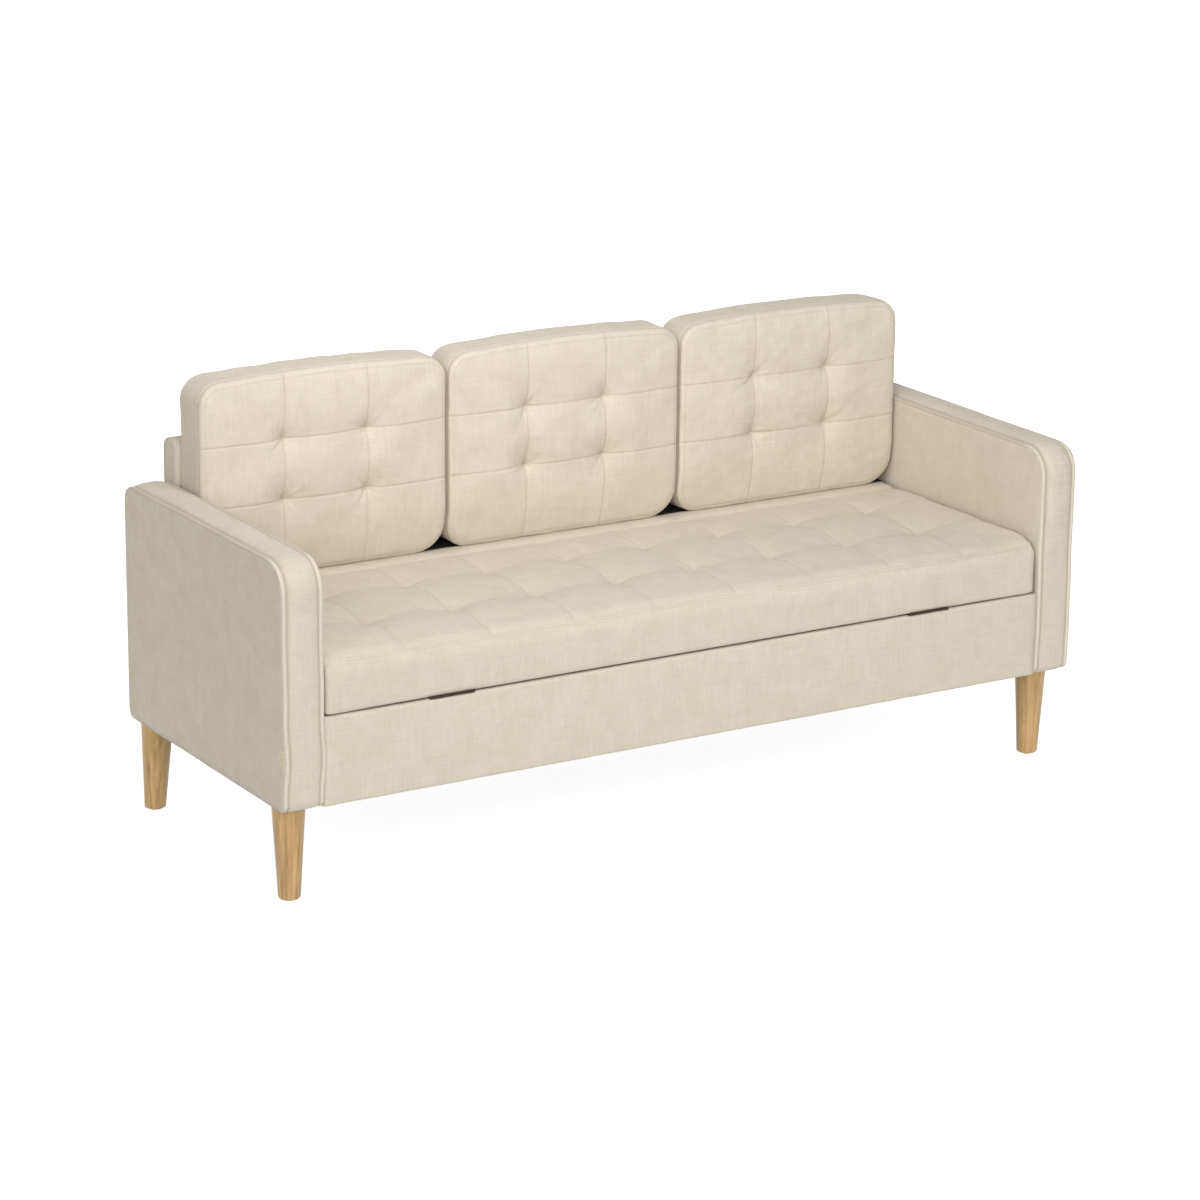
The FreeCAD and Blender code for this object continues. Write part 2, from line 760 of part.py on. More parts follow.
def along_strut(shape):
    # Turns a shape drawn along +Y onto the strut's line, with its origin at the base pin.
    turned = shape.copy()
    turned.rotate(vec(0, 0, 0), vec(1, 0, 0), strut_angle)
    turned.translate(vec(strut_x, strut_base[0], strut_base[1]))
    return turned


def strut_eye(at):
    eye = along_x(eye_radius, -eye_width / 2, eye_width / 2, at, 0)
    hole = along_x(eye_pin_radius + running_clearance, -eye_width, eye_width, at, 0)
    return eye, hole


def strut_cylinder():
    forward = vec(0, 1, 0)
    eye, hole = strut_eye(0)
    neck = cylinder(vec(0, 0, 0), forward, strut_rod_radius, strut_bore_start)
    tube = cylinder(vec(0, strut_plug_start, 0), forward, strut_tube_radius,
                    strut_tube_end - strut_plug_start)
    bore = cylinder(vec(0, strut_bore_start, 0), forward, strut_bore_radius,
                    strut_tube_end - strut_guide_length - strut_bore_start)
    guide = cylinder(vec(0, strut_bore_start, 0), forward, strut_rod_radius + running_clearance,
                     strut_tube_end - strut_bore_start + cut_overlap)
    solid = fuse_all([eye, neck, tube])
    return along_strut(cut_all(solid, [bore, guide, hole]))


def strut_rod():
    forward = vec(0, 1, 0)
    eye, hole = strut_eye(strut_length)
    start = vec(0, strut_piston_y, 0)
    rod = cylinder(start, forward, strut_rod_radius, strut_length - strut_piston_y)
    piston = cylinder(start, forward, strut_bore_radius - strut_piston_clearance, strut_piston_length)
    solid = fuse_all([eye, rod, piston])
    return along_strut(solid.cut(hole))


def bracket_pin(plate_x, y, z):
    inner = strut_x - eye_width / 2
    outer = strut_x + eye_width / 2
    return [
        along_x(eye_pin_radius, inner - eye_gap - bracket_thickness, plate_x, y, z),
        along_x(eye_collar_radius, outer + eye_gap, plate_x, y, z),
        along_x(eye_collar_radius, inner - eye_gap - bracket_thickness, inner - eye_gap, y, z),
    ]


def strut_brackets():
    # The base bracket stands on the box's end board, the lid bracket hangs from the lid.
    y, z = strut_base
    plate_x = end_board_face_x - bracket_thickness
    base_plate = box(plate_x, end_board_face_x, y - bracket_half_length, y + bracket_half_length,
                     z - bracket_foot_share * bracket_half_length, z + bracket_half_length)
    base = fuse_all([base_plate] + bracket_pin(plate_x + bracket_thickness, y, z))
    screw_out = bracket_screw_share * bracket_half_length
    screw_z = z + bracket_half_length / 2
    base_screws = [screw(vec(plate_x, y + dy, screw_z), vec(1, 0, 0), bracket_screw_length)
                   for dy in (-screw_out, screw_out)]

    y, z = strut_lid
    tab_x = end_board_face_x - 2 * bracket_thickness
    flange_x = strut_x + eye_width / 2 + eye_gap
    flange = box(flange_x, tab_x, y - bracket_half_length, y + bracket_half_length,
                 lid_underside - bracket_thickness, lid_underside)
    tab = box(tab_x - bracket_thickness, tab_x, y - bracket_half_length / 2, y + bracket_half_length / 2,
              z - bracket_half_length / 2, lid_underside)
    lid = fuse_all([flange, tab] + bracket_pin(tab_x, y, z))
    middle = (flange_x + tab_x - bracket_thickness) / 2
    lid_screws = [screw(vec(middle, y + dy, lid_underside - bracket_thickness), vec(0, 0, 1))
                  for dy in (-screw_out, screw_out)]
    return cut_all(base, base_screws), base_screws, cut_all(lid, lid_screws), lid_screws


def shelf_pieces():
    rail = box(-inner_x, inner_x, rail_face_y, hinge_rail_rear_y, box_top, hinge_rail_top)
    board_front = shelf_front_y + shelf_lining_thickness
    bearers = [
        box(-inner_x, inner_x, board_front, board_front + shelf_bearer_width,
            hinge_rail_top, shelf_board_bottom),
        box(-inner_x, inner_x, back_front_y - ledger_width, back_front_y,
            shelf_board_bottom - shelf_rear_ledger_height, shelf_board_bottom),
    ]
    board = box(-inner_x, inner_x, board_front, back_front_y, shelf_board_bottom, shelf_board_top)
    lining = fuse_all([
        box(-shelf_half, shelf_half, shelf_front_y, back_front_y, shelf_board_top, shelf_top),
        box(-shelf_half, shelf_half, shelf_front_y, board_front, hinge_rail_top, shelf_top),
    ])
    return rail, bearers, board, lining


def cushion_half_width(z):
    # Half the cushion's width at height z: round corners, a domed top and drawn-in sides.
    flat = cushion_half - cushion_corner_radius
    shoulder = overall_height - cushion_top_dome
    above = z - shelf_top
    draw = cushion_side_draw * math.sin(math.pi * above / cushion_height)
    if z > shoulder:
        share = (overall_height - z) / cushion_top_dome
        return max(flat * math.sqrt(share), cushion_column_half * cushion_top_width_share)
    below = shoulder - z
    low = min(above, below)
    if low < cushion_corner_radius:
        fall = cushion_corner_radius - low
        return flat + math.sqrt(cushion_corner_radius**2 - fall**2) - draw
    return cushion_half - draw


def cushion_front_edge(z):
    # How far the front seam lies behind the front plane, near the bottom and the top.
    above = z - shelf_top
    below = overall_height - z
    if above < cushion_bottom_front_radius:
        fall = cushion_bottom_front_radius - above
        return cushion_bottom_front_radius - math.sqrt(cushion_bottom_front_radius**2 - fall**2)
    if below < cushion_top_front_radius:
        fall = cushion_top_front_radius - below
        return cushion_top_front_radius - math.sqrt(cushion_top_front_radius**2 - fall**2)
    return 0.0


def cushion_rear_plane(z):
    # Above the back frame the stuffing spreads backwards over its top.
    start = back_top
    full = overall_height - 2 * cushion_edge_radius
    if z <= start:
        return cushion_rear_y
    if z >= full:
        fall = (z - full) / (overall_height - full)
        return cushion_rear_y + cushion_rear_bulge * (1 - cushion_rear_fall_share * fall * fall)
    share = (z - start) / (full - start)
    return cushion_rear_y + cushion_rear_bulge * math.sin(math.pi / 2 * share)


def cushion_section(center, z):
    # One level outline of a back cushion: three puffed columns in front, a flat rear.
    half = cushion_half_width(z)
    rows = [shelf_top, cushion_lower_row_z, cushion_upper_row_z, overall_height]
    t = 0.0
    for low, high in zip(rows, rows[1:]):
        if low <= z <= high:
            t = (z - low) / (high - low)
    rise = puff(min(max(t, 0.0), 1.0))
    at_row = z in (cushion_lower_row_z, cushion_upper_row_z)
    height_share = (z - shelf_top) / cushion_height
    dome = cushion_least_dome + cushion_dome * math.sqrt(max(math.sin(math.pi * height_share), 0.0))
    front = cushion_front_y + cushion_front_edge(z)
    rear = cushion_rear_plane(z)
    bulge = dome + cushion_puff * rise
    seam = cushion_seam_dome_share * dome + cushion_seam_puff_share * cushion_puff * rise
    if at_row:
        bulge = cushion_row_dome_share * dome
        seam = dome - cushion_tuft_depth
    r = cushion_edge_radius
    s = r * (1 - math.sqrt(0.5))
    g = cushion_column_half

    def point(x, y):
        return vec(center + x, y, z)

    outer_mid = (half - r + g) / 2
    outer_y = front - cushion_outer_bulge_share * bulge
    edges = [
        arc(point(-half + r, front), point(-outer_mid, outer_y), point(-g, front - seam)),
        arc(point(-g, front - seam), point(0, front - bulge - cushion_crown), point(g, front - seam)),
        arc(point(g, front - seam), point(outer_mid, outer_y), point(half - r, front)),
        arc(point(half - r, front), point(half - s, front + s), point(half, front + r)),
        line(point(half, front + r), point(half, rear - r)),
        arc(point(half, rear - r), point(half - s, rear - s), point(half - r, rear)),
        line(point(half - r, rear), point(-half + r, rear)),
        arc(point(-half + r, rear), point(-half + s, rear - s), point(-half, rear - r)),
        line(point(-half, rear - r), point(-half, front + r)),
        arc(point(-half, front + r), point(-half + s, front + s), point(-half + r, front)),
    ]
    return Part.Wire(edges)


def cushion_levels():
    rows = [shelf_top, cushion_lower_row_z, cushion_upper_row_z, overall_height]
    shoulder = overall_height - cushion_top_dome
    corner_rises = [0.0] + [cushion_corner_radius * t for t in corner_steps] + [cushion_corner_radius]
    levels = [shelf_top + rise for rise in corner_rises]
    least_gap = corner_rises[1]
    for low, high in zip(rows, rows[1:]):
        for t in loft_steps:
            z = low + (high - low) * t
            clear_low = z > shelf_top + cushion_corner_radius + least_gap
            clear_high = z < shoulder - cushion_corner_radius - least_gap
            if clear_low and clear_high:
                levels.append(z)
        if high < overall_height:
            levels.append(high)
    levels += [shoulder - rise for rise in corner_rises]
    levels += [overall_height - cushion_top_dome * share for share in dome_steps]
    levels.append(overall_height)
    return sorted(levels)


def cushion_pieces(center):
    form = Part.makeLoft([cushion_section(center, z) for z in cushion_levels()], True, True)
    side = cushion_half - cushion_core_side
    core = box(center - side, center + side,
               cushion_front_y + cushion_core_depth_margin, cushion_rear_y - cushion_core_depth_margin,
               shelf_top + cushion_core_end, overall_height - cushion_core_end)
    return form.cut(core), core


def save(name, shape):
    if isinstance(shape, list):
        shape = group(shape)
    shape.exportStep("parts/" + name + ".step")
    print(f"{name}: {len(shape.Solids)} solid(s), {shape.Volume / 1000:.1f} cm3, valid {shape.isValid()}")


def build():
    nodes = {}

    cover, padding, boards, frame, piping = arm_pieces()
    bolts = arm_bolts()
    leg_names = {
        "front": leg_set(front_leg_y, front_leg_y),
        "rear": leg_set(rear_leg_top_y, rear_leg_foot_y),
    }
    fixings = bolts + [leg_names[end][3] for end in leg_names]
    for end in leg_names:
        fixings += leg_names[end][2]
    cover = cut_all(cover, bolts)
    padding = cut_all(padding, bolts)
    boards = [cut_all(board, bolts) for board in boards]
    frame = [cut_all(member, fixings) for member in frame]
    arm_nodes = {"cover": [cover], "padding": [padding], "boards": boards, "frame": frame, "piping": piping}
    for part, solids in arm_nodes.items():
        nodes["right_arm_" + part] = solids
        nodes["left_arm_" + part] = [mirrored(solid) for solid in solids]
    nodes["arm_bolts"] = bolts + [mirrored(bolt) for bolt in bolts]

    plates = []
    plate_screws = []
    hanger_bolts = []
    glides = []
    for end, (leg, plate, screws, bolt, glide) in leg_names.items():
        nodes[end + "_right_leg"] = [leg]
        nodes[end + "_left_leg"] = [mirrored(leg)]
        plates += [plate, mirrored(plate)]
        plate_screws += screws + [mirrored(one) for one in screws]
        hanger_bolts += [bolt, mirrored(bolt)]
        glides += [glide, mirrored(glide)]
    nodes["leg_plates"] = plates
    nodes["leg_plate_screws"] = plate_screws
    nodes["hanger_bolts"] = hanger_bolts
    nodes["leg_glides"] = glides

    cover, padding, panel, frame, lining = back_pieces()
    nodes["back_cover"] = [cover]
    nodes["back_padding"] = [padding]
    nodes["back_panel"] = [panel]
    nodes["back_frame"] = frame
    nodes["back_lining"] = [lining]

    cover, padding, board = front_pieces()
    nodes["front_panel_cover"] = [cover]
    nodes["front_padding"] = [padding]
    nodes["front_panel_board"] = [board]

    rails, bearers, floor, end_board, rear_board = base_pieces()
    base_bracket, base_bracket_screws, lid_bracket, lid_bracket_screws = strut_brackets()
    end_board = cut_all(end_board, bolts + base_bracket_screws)
    nodes["base_rails"] = rails
    nodes["floor_bearers"] = bearers
    nodes["storage_floor"] = [floor]
    nodes["storage_end_boards"] = [end_board, mirrored(end_board)]
    nodes["storage_rear_board"] = [rear_board]
    nodes["dust_cover"] = dust_cover_pieces()

    base_leaves, lid_leaves, pins, base_screws, lid_screws = hinge_pieces()
    rail, shelf_bearers, shelf, shelf_lining = shelf_pieces()
    nodes["hinge_rail"] = [cut_all(rail, base_screws)]
    nodes["shelf_bearers"] = shelf_bearers
    nodes["cushion_shelf"] = [shelf]
    nodes["shelf_lining"] = [shelf_lining]
    nodes["hinge_base_leaves"] = base_leaves
    nodes["hinge_lid_leaves"] = lid_leaves
    nodes["hinge_pins"] = pins

    bracket_screws = base_bracket_screws + [mirrored(one) for one in base_bracket_screws]
    nodes["base_hardware_screws"] = base_screws + bracket_screws
    lid_side_screws = lid_bracket_screws + [mirrored(one) for one in lid_bracket_screws]
    nodes["lid_hardware_screws"] = lid_screws + lid_side_screws
    nodes["strut_base_brackets"] = [base_bracket, mirrored(base_bracket)]
    nodes["strut_lid_brackets"] = [lid_bracket, mirrored(lid_bracket)]
    tube = strut_cylinder()
    rod = strut_rod()
    nodes["right_strut_cylinder"] = [tube]
    nodes["left_strut_cylinder"] = [mirrored(tube)]
    nodes["right_strut_rod"] = [rod]
    nodes["left_strut_rod"] = [mirrored(rod)]

    pad_front = front_face_y + bumper_front_inset
    bumper = box(bumper_x - bumper_length / 2, bumper_x + bumper_length / 2,
                 pad_front, pad_front + bumper_depth, front_panel_top, lid_underside)
    nodes["lid_bumpers"] = [bumper, mirrored(bumper)]

    cover, lining, frame, board, foam = lid_pieces()
    nodes["seat_cover"] = [cut_all(cover, lid_screws)]
    nodes["lid_lining"] = [cut_all(lining, lid_side_screws)]
    nodes["lid_frame"] = [cut_all(member, lid_screws + lid_side_screws) for member in frame]
    nodes["lid_board"] = [board]
    nodes["seat_foam"] = [foam]

    for side, center in cushion_centers.items():
        cushion, core = cushion_pieces(center)
        nodes[side + "_back_cushion"] = [cushion]
        nodes[side + "_cushion_core"] = [core]

    for name, solids in nodes.items():
        save(name, solids)
    print("hinge axis", (0, hinge_y, hinge_z))
    print("strut base pin", (strut_x,) + strut_base, "lid pin", (strut_x,) + strut_lid)
    print(len(nodes), "nodes")


build()
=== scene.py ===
# %% [markdown]
# # A cream storage sofa
# The working parts of this sofa (frames, boards, hinges, struts, legs) come from a CAD model that is loaded
# first and never moved. The lesson then dresses that frame: it sews covers round the arms and the back,
# stuffs three loose cushions and a tufted seat with a cloth simulation, and gives every surface a
# procedural finish. All sizes are in metres, in the CAD model's own frame.

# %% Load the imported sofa
import math

import bmesh
import bpy
import numpy as np
from mathutils import Matrix, Vector
from mathutils.bvhtree import BVHTree


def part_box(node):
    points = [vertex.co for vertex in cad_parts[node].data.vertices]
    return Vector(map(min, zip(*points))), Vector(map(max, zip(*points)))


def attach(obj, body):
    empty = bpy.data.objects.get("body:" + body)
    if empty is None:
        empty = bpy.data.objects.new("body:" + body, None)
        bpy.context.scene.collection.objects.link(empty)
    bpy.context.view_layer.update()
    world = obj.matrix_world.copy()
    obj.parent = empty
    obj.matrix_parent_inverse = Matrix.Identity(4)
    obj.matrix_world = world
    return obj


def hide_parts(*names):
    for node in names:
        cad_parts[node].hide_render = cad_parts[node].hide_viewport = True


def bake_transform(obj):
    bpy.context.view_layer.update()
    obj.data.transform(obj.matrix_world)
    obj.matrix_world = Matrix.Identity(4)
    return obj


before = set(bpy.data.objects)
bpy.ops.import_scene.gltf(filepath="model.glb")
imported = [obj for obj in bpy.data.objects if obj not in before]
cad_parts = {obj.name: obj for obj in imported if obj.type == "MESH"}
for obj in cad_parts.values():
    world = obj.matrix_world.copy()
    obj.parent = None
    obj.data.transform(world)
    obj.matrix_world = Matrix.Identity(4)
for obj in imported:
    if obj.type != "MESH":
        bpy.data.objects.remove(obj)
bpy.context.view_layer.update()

# %% [markdown]
# The photograph looks down a little on the sofa from its front left, through a long lens. The camera's
# place, direction and lens were worked out from edges of the sofa whose real size is known.

# %% Camera
CAMERA_PLACE = Vector((-3.6936, -5.9531, 2.4433))
CAMERA_AZIMUTH = 31.672
CAMERA_ELEVATION = 16.597
CAMERA_ROLL = 0.682
CAMERA_LENS = 118.8
SENSOR_WIDTH = 36.0
FARTHEST_VIEW = 200.0

camera = bpy.data.objects.new("studio_camera", bpy.data.cameras.new("studio_camera"))
camera.data.lens = CAMERA_LENS
camera.data.sensor_width = SENSOR_WIDTH
camera.data.clip_end = FARTHEST_VIEW
camera.location = CAMERA_PLACE
turned = Matrix.Rotation(math.radians(-CAMERA_AZIMUTH), 3, "Z")
tipped = Matrix.Rotation(math.radians(90.0 - CAMERA_ELEVATION), 3, "X")
rolled = Matrix.Rotation(math.radians(CAMERA_ROLL), 3, "Z")
camera.rotation_euler = (turned @ tipped @ rolled).to_euler()
bpy.context.scene.collection.objects.link(camera)
bpy.context.scene.camera = camera
print("camera lens", camera.data.lens)

# %% [markdown]
# A plain studio: a white floor, a dim even sky, a wide lamp over the sofa and three very soft suns, from the
# front left, the front and behind. The lamp overhead brightens the seat, the cushions and the arms' inner
# sides, as in the photograph, but not the outer ones. Suns light the whole floor alike, so it stays white
# to the horizon. The floor glows for what looks straight at it, so that hardly a shadow is left, as in
# the photograph.

# %% Light and floor
FLOOR_SIZE = 60.0
FLOOR_DROP = 0.0003
FLOOR_WHITE = (0.95, 0.95, 0.95, 1.0)
SKY_LEVEL = 0.28
LEFT_LEVEL = 1.15
FRONT_LEVEL = 0.92
REAR_LEVEL = 0.55
LAMP_POWER = 10.4
LAMP_SIZE = 1.2
LAMP_PLACE = Vector((-0.45, -0.6, 1.9))
LAMP_AIM = Vector((-0.1, 0.0, 0.4))
FLOOR_LIFT = 0.80

scene = bpy.context.scene
scene.view_settings.view_transform = "Standard"


def seen_directly(tree):
    """A value that is 1 for camera, glossy and transmission rays and 0 for the light on the sofa."""
    path = tree.nodes.new("ShaderNodeLightPath")
    seen = path.outputs["Is Camera Ray"]
    for ray in ("Is Glossy Ray", "Is Transmission Ray"):
        either = tree.nodes.new("ShaderNodeMath")
        either.operation = "MAXIMUM"
        tree.links.new(seen, either.inputs[0])
        tree.links.new(path.outputs[ray], either.inputs[1])
        seen = either.outputs[0]
    return seen


world = bpy.data.worlds.new("studio_sky")
scene.world = world
world.use_nodes = True
sky = world.node_tree
background = sky.nodes["Background"]
background.inputs["Color"].default_value = (1.0, 1.0, 1.0, 1.0)
sky_level = sky.nodes.new("ShaderNodeMapRange")
sky_level.inputs["To Min"].default_value = SKY_LEVEL
sky_level.inputs["To Max"].default_value = 1.0
sky.links.new(seen_directly(sky), sky_level.inputs["Value"])
sky.links.new(sky_level.outputs["Result"], background.inputs["Strength"])


def add_sun(name, direction, level, softness):
    """A sun shining along direction. A level of pi lights a facing white card to full white."""
    lamp = bpy.data.objects.new(name, bpy.data.lights.new(name, "SUN"))
    lamp.data.energy = level
    lamp.data.angle = math.radians(softness)
    lamp.rotation_euler = Vector(direction).to_track_quat("-Z", "Y").to_euler()
    scene.collection.objects.link(lamp)


add_sun("left_light", (0.65, 0.68, -0.35), LEFT_LEVEL, 50)
add_sun("front_light", (0.05, 0.93, -0.35), FRONT_LEVEL, 50)
add_sun("rear_light", (-0.45, -0.80, -0.35), REAR_LEVEL, 70)

lamp = bpy.data.objects.new("lamp_overhead", bpy.data.lights.new("lamp_overhead", "AREA"))
lamp.data.shape = "DISK"
lamp.data.size = LAMP_SIZE
lamp.data.energy = LAMP_POWER
lamp.location = LAMP_PLACE
lamp.rotation_euler = (LAMP_AIM - LAMP_PLACE).to_track_quat("-Z", "Y").to_euler()
lamp.visible_camera = False
scene.collection.objects.link(lamp)

bm = bmesh.new()
bmesh.ops.create_grid(bm, x_segments=1, y_segments=1, size=FLOOR_SIZE / 2)
bmesh.ops.translate(bm, verts=bm.verts, vec=(0, 0, -FLOOR_DROP))
floor = bpy.data.objects.new("studio_floor", bpy.data.meshes.new("studio_floor"))
bm.to_mesh(floor.data)
bm.free()
scene.collection.objects.link(floor)

floor_paint = bpy.data.materials.new("floor_paint")
floor_paint.use_nodes = True
tree = floor_paint.node_tree
tree.nodes.clear()
diffuse = tree.nodes.new("ShaderNodeBsdfDiffuse")
diffuse.inputs["Color"].default_value = FLOOR_WHITE
glow = tree.nodes.new("ShaderNodeEmission")
lift = tree.nodes.new("ShaderNodeMath")
lift.operation = "MULTIPLY"
lift.inputs[1].default_value = FLOOR_LIFT
both = tree.nodes.new("ShaderNodeAddShader")
surface = tree.nodes.new("ShaderNodeOutputMaterial")
tree.links.new(seen_directly(tree), lift.inputs[0])
tree.links.new(lift.outputs[0], glow.inputs["Strength"])
tree.links.new(diffuse.outputs[0], both.inputs[0])
tree.links.new(glow.outputs[0], both.inputs[1])
tree.links.new(both.outputs[0], surface.inputs["Surface"])
floor.data.materials.append(floor_paint)

# %% [markdown]
# Materials are small node trees. A few helpers keep them readable: one makes a noise that can be stretched
# into threads or grain, one blends two colours by such a pattern, and one adds a bump. Constants such as
# roughness and sheen are set on the shader itself.

# %% Material helpers


class Finish:
    """A new material with a Principled shader and short ways to add patterns to it."""

    def __init__(self, name, coordinates="Object"):
        self.material = bpy.data.materials.new(name)
        self.material.use_nodes = True
        self.tree = self.material.node_tree
        self.shader = self.tree.nodes["Principled BSDF"]
        texture = self.tree.nodes.new("ShaderNodeTexCoord")
        self.place = texture.outputs[coordinates]

    def link(self, source, target):
        self.tree.links.new(source, target)

    def stretched(self, scale):
        """The place on the piece, scaled by one number or by one for each axis."""
        mapping = self.tree.nodes.new("ShaderNodeMapping")
        mapping.inputs["Scale"].default_value = scale if isinstance(scale, tuple) else (scale,) * 3
        self.link(self.place, mapping.inputs["Vector"])
        return mapping.outputs[0]

    def noise(self, scale, detail=2.0, distortion=0.0):
        node = self.tree.nodes.new("ShaderNodeTexNoise")
        node.inputs["Scale"].default_value = 1.0
        node.inputs["Detail"].default_value = detail
        node.inputs["Distortion"].default_value = distortion
        self.link(self.stretched(scale), node.inputs["Vector"])
        return node.outputs["Fac"]

    def level(self, value, low, high, to_low=0.0, to_high=1.0):
        node = self.tree.nodes.new("ShaderNodeMapRange")
        node.inputs["From Min"].default_value = low
        node.inputs["From Max"].default_value = high
        node.inputs["To Min"].default_value = to_low
        node.inputs["To Max"].default_value = to_high
        self.link(value, node.inputs["Value"])
        return node.outputs["Result"]

    def math(self, operation, a, b):
        node = self.tree.nodes.new("ShaderNodeMath")
        node.operation = operation
        for socket, value in zip(node.inputs, (a, b)):
            if isinstance(value, (int, float)):
                socket.default_value = value
            else:
                self.link(value, socket)
        return node.outputs[0]

    def blend(self, amount, first, second):
        node = self.tree.nodes.new("ShaderNodeMix")
        node.data_type = "RGBA"
        self.link(amount, node.inputs["Factor"])
        for name, value in (("A", first), ("B", second)):
            socket = next(s for s in node.inputs if s.name == name and s.type == "RGBA")
            if isinstance(value, tuple):
                socket.default_value = (*value, 1.0)
            else:
                self.link(value, socket)
        return next(s for s in node.outputs if s.type == "RGBA")

    def bump(self, height, strength, distance):
        node = self.tree.nodes.new("ShaderNodeBump")
        node.inputs["Strength"].default_value = strength
        node.inputs["Distance"].default_value = distance
        self.link(height, node.inputs["Height"])
        self.link(node.outputs[0], self.shader.inputs["Normal"])

    def colour(self, value):
        self.link(value, self.shader.inputs["Base Color"])

    def set(self, **constants):
        """Sets the shader's own sockets, such as roughness=0.5, and gives the finished material."""
        for name, value in constants.items():
            socket = name.replace("_", " ").title().replace("Ior", "IOR")
            self.shader.inputs[socket].default_value = value
        return self.material


def tint(colour, share):
    """The colour made darker or, above 1, paler."""
    return tuple(min(1.0, part * share) for part in colour)


# %% [markdown]
# The cover is a brushed linen-look weave: matte, warm cream, with slubs running both ways, soft mottling
# where the nap lies differently, and a fine thread relief. It reads the piece's own UV map, which is laid
# out in metres, so the threads keep their size on every panel. A "seam" attribute paints shade into the
# cloth where it dives into a seam, a groove or a tuft's dimple; on the arms' outer panels it also carries
# darker nap marks.

# %% Cream linen
LINEN = (0.692, 0.632, 0.520)
LINEN_SHADE = (0.640, 0.578, 0.466)
# the colour the seam attribute blends towards: painted shade in seams, grooves and dimples, and darker nap
# marks on the arms
LINEN_PAINTED_SHADE_AND_NAP = (0.430, 0.350, 0.255)
THREADS = (1500, 60)
SLUBS = (330, 16)
THREAD_RELIEF = 0.0006


def linen(name, light, shade, thread_strength=0.25):
    cloth = Finish(name, "UV")

    def woven(pattern, detail):
        """Thin streaks both ways. pattern says how many there are to a metre, across and along."""
        thin, long = pattern
        up = cloth.noise((thin, long, 1), detail)
        return cloth.math("ADD", up, cloth.noise((long, thin, 1), detail))

    threads = woven(THREADS, 1.0)
    slubs = woven(SLUBS, 3.0)
    nap = cloth.noise((24, 20, 1), 4.0, 0.8)
    cloud = cloth.noise((5, 4, 1), 3.0, 0.4)
    darker = tint(shade, 0.90)
    base = cloth.blend(cloth.level(nap, 0.36, 0.66), light, shade)
    clouded = cloth.blend(cloth.level(cloud, 0.3, 0.7, 0.0, 0.45), base, shade)
    slubbed = cloth.blend(cloth.level(slubs, 0.98, 1.3, 0.0, 0.45), clouded, tint(light, 1.09))
    slubbed = cloth.blend(cloth.level(slubs, 0.70, 0.98, 0.4, 0.0), slubbed, darker)
    thready = cloth.blend(cloth.level(threads, 0.75, 1.0, 0.45, 0.0), slubbed, darker)
    # painted shade: the cloth is blended towards the darker colour where the seam attribute is high
    seam = cloth.tree.nodes.new("ShaderNodeAttribute")
    seam.attribute_name = "seam"
    cloth.colour(cloth.blend(seam.outputs["Fac"], thready, LINEN_PAINTED_SHADE_AND_NAP))
    relief = cloth.math("ADD", threads, cloth.math("MULTIPLY", slubs, 0.6))
    cloth.bump(relief, thread_strength, THREAD_RELIEF)
    return cloth.set(roughness=0.92, sheen_weight=0.18, sheen_roughness=0.5, specular_ior_level=0.2)


cream_linen = linen("cream_linen", LINEN, LINEN_SHADE)
welt_linen = linen("welt_linen", tint(LINEN, 1.02), LINEN, 0.3)
print("made", cream_linen.name, welt_linen.name)

# %% [markdown]
# The legs are rubberwood under a satin varnish: straight grain up the leg, short dark pores and a few
# browner streaks. Stretching a noise along Z gives grain, and because it is read in object coordinates it
# runs through the solid wood, also across the end grain.

# %% Woods
PINE = ((0.72, 0.52, 0.29), (0.58, 0.37, 0.18))


def wood(name, light, dark, along, roughness, pores=0.5, coat=0.0):
    """Grain runs along the axis whose number is along."""
    timber = Finish(name)

    def scale(across, length):
        values = [across] * 3
        values[along] = length
        return tuple(values)

    grain = timber.noise(scale(150, 5), 5.0, 0.4)
    streak = timber.noise(scale(38, 2.2), 3.0, 1.2)
    pore = timber.noise(scale(900, 45))
    body = timber.blend(timber.level(grain, 0.3, 0.7), light, dark)
    streaked = timber.blend(timber.level(streak, 0.55, 0.75, 0.0, 0.75), body, tint(dark, 0.72))
    dots = timber.level(pore, 0.62, 0.72, 0.0, pores)
    timber.colour(timber.blend(dots, streaked, tint(dark, 0.5)))
    timber.bump(timber.math("SUBTRACT", grain, timber.math("MULTIPLY", dots, 0.6)), 0.12, 0.0004)
    return timber.set(roughness=roughness, coat_weight=coat, coat_roughness=0.25)


rubberwood = wood("rubberwood_varnished", (0.62, 0.405, 0.165), (0.37, 0.210, 0.070), 2, 0.42, coat=0.2)
pine_across = wood("pine_across", *PINE, 0, 0.75, 0.2)
pine_deep = wood("pine_deep", *PINE, 1, 0.75, 0.2)
plywood = wood("plywood_face", (0.66, 0.49, 0.30), (0.54, 0.37, 0.20), 0, 0.7, 0.3)
print("made", rubberwood.name, pine_across.name, pine_deep.name, plywood.name)

# %% [markdown]
# Hardboard and the two fillings look alike in their build: fine fibres or foam cells in two tones, clouded
# with a third, so one function makes them all.

# %% Hardboard and fillings


def grained(name, cells, tones, clouds, relief, roughness):
    """cells is a scale, a detail and an upper level, and clouds a scale and the most of the third tone."""
    board = Finish(name)
    scale, detail, upper = cells
    grain = board.noise(scale, detail)
    body = board.blend(board.level(grain, 0.35, upper), *tones[:2])
    scale, share = clouds
    board.colour(board.blend(board.level(board.noise(scale), 0.4, 0.7, 0.0, share), body, tones[2]))
    board.bump(grain, *relief)
    return board.set(roughness=roughness)


def foam_finish(name, pale, deep, cell):
    return grained(name, (cell, 3.0, 0.6), (deep, pale, deep), (9, 0.3), (0.5, 0.001), 0.95)


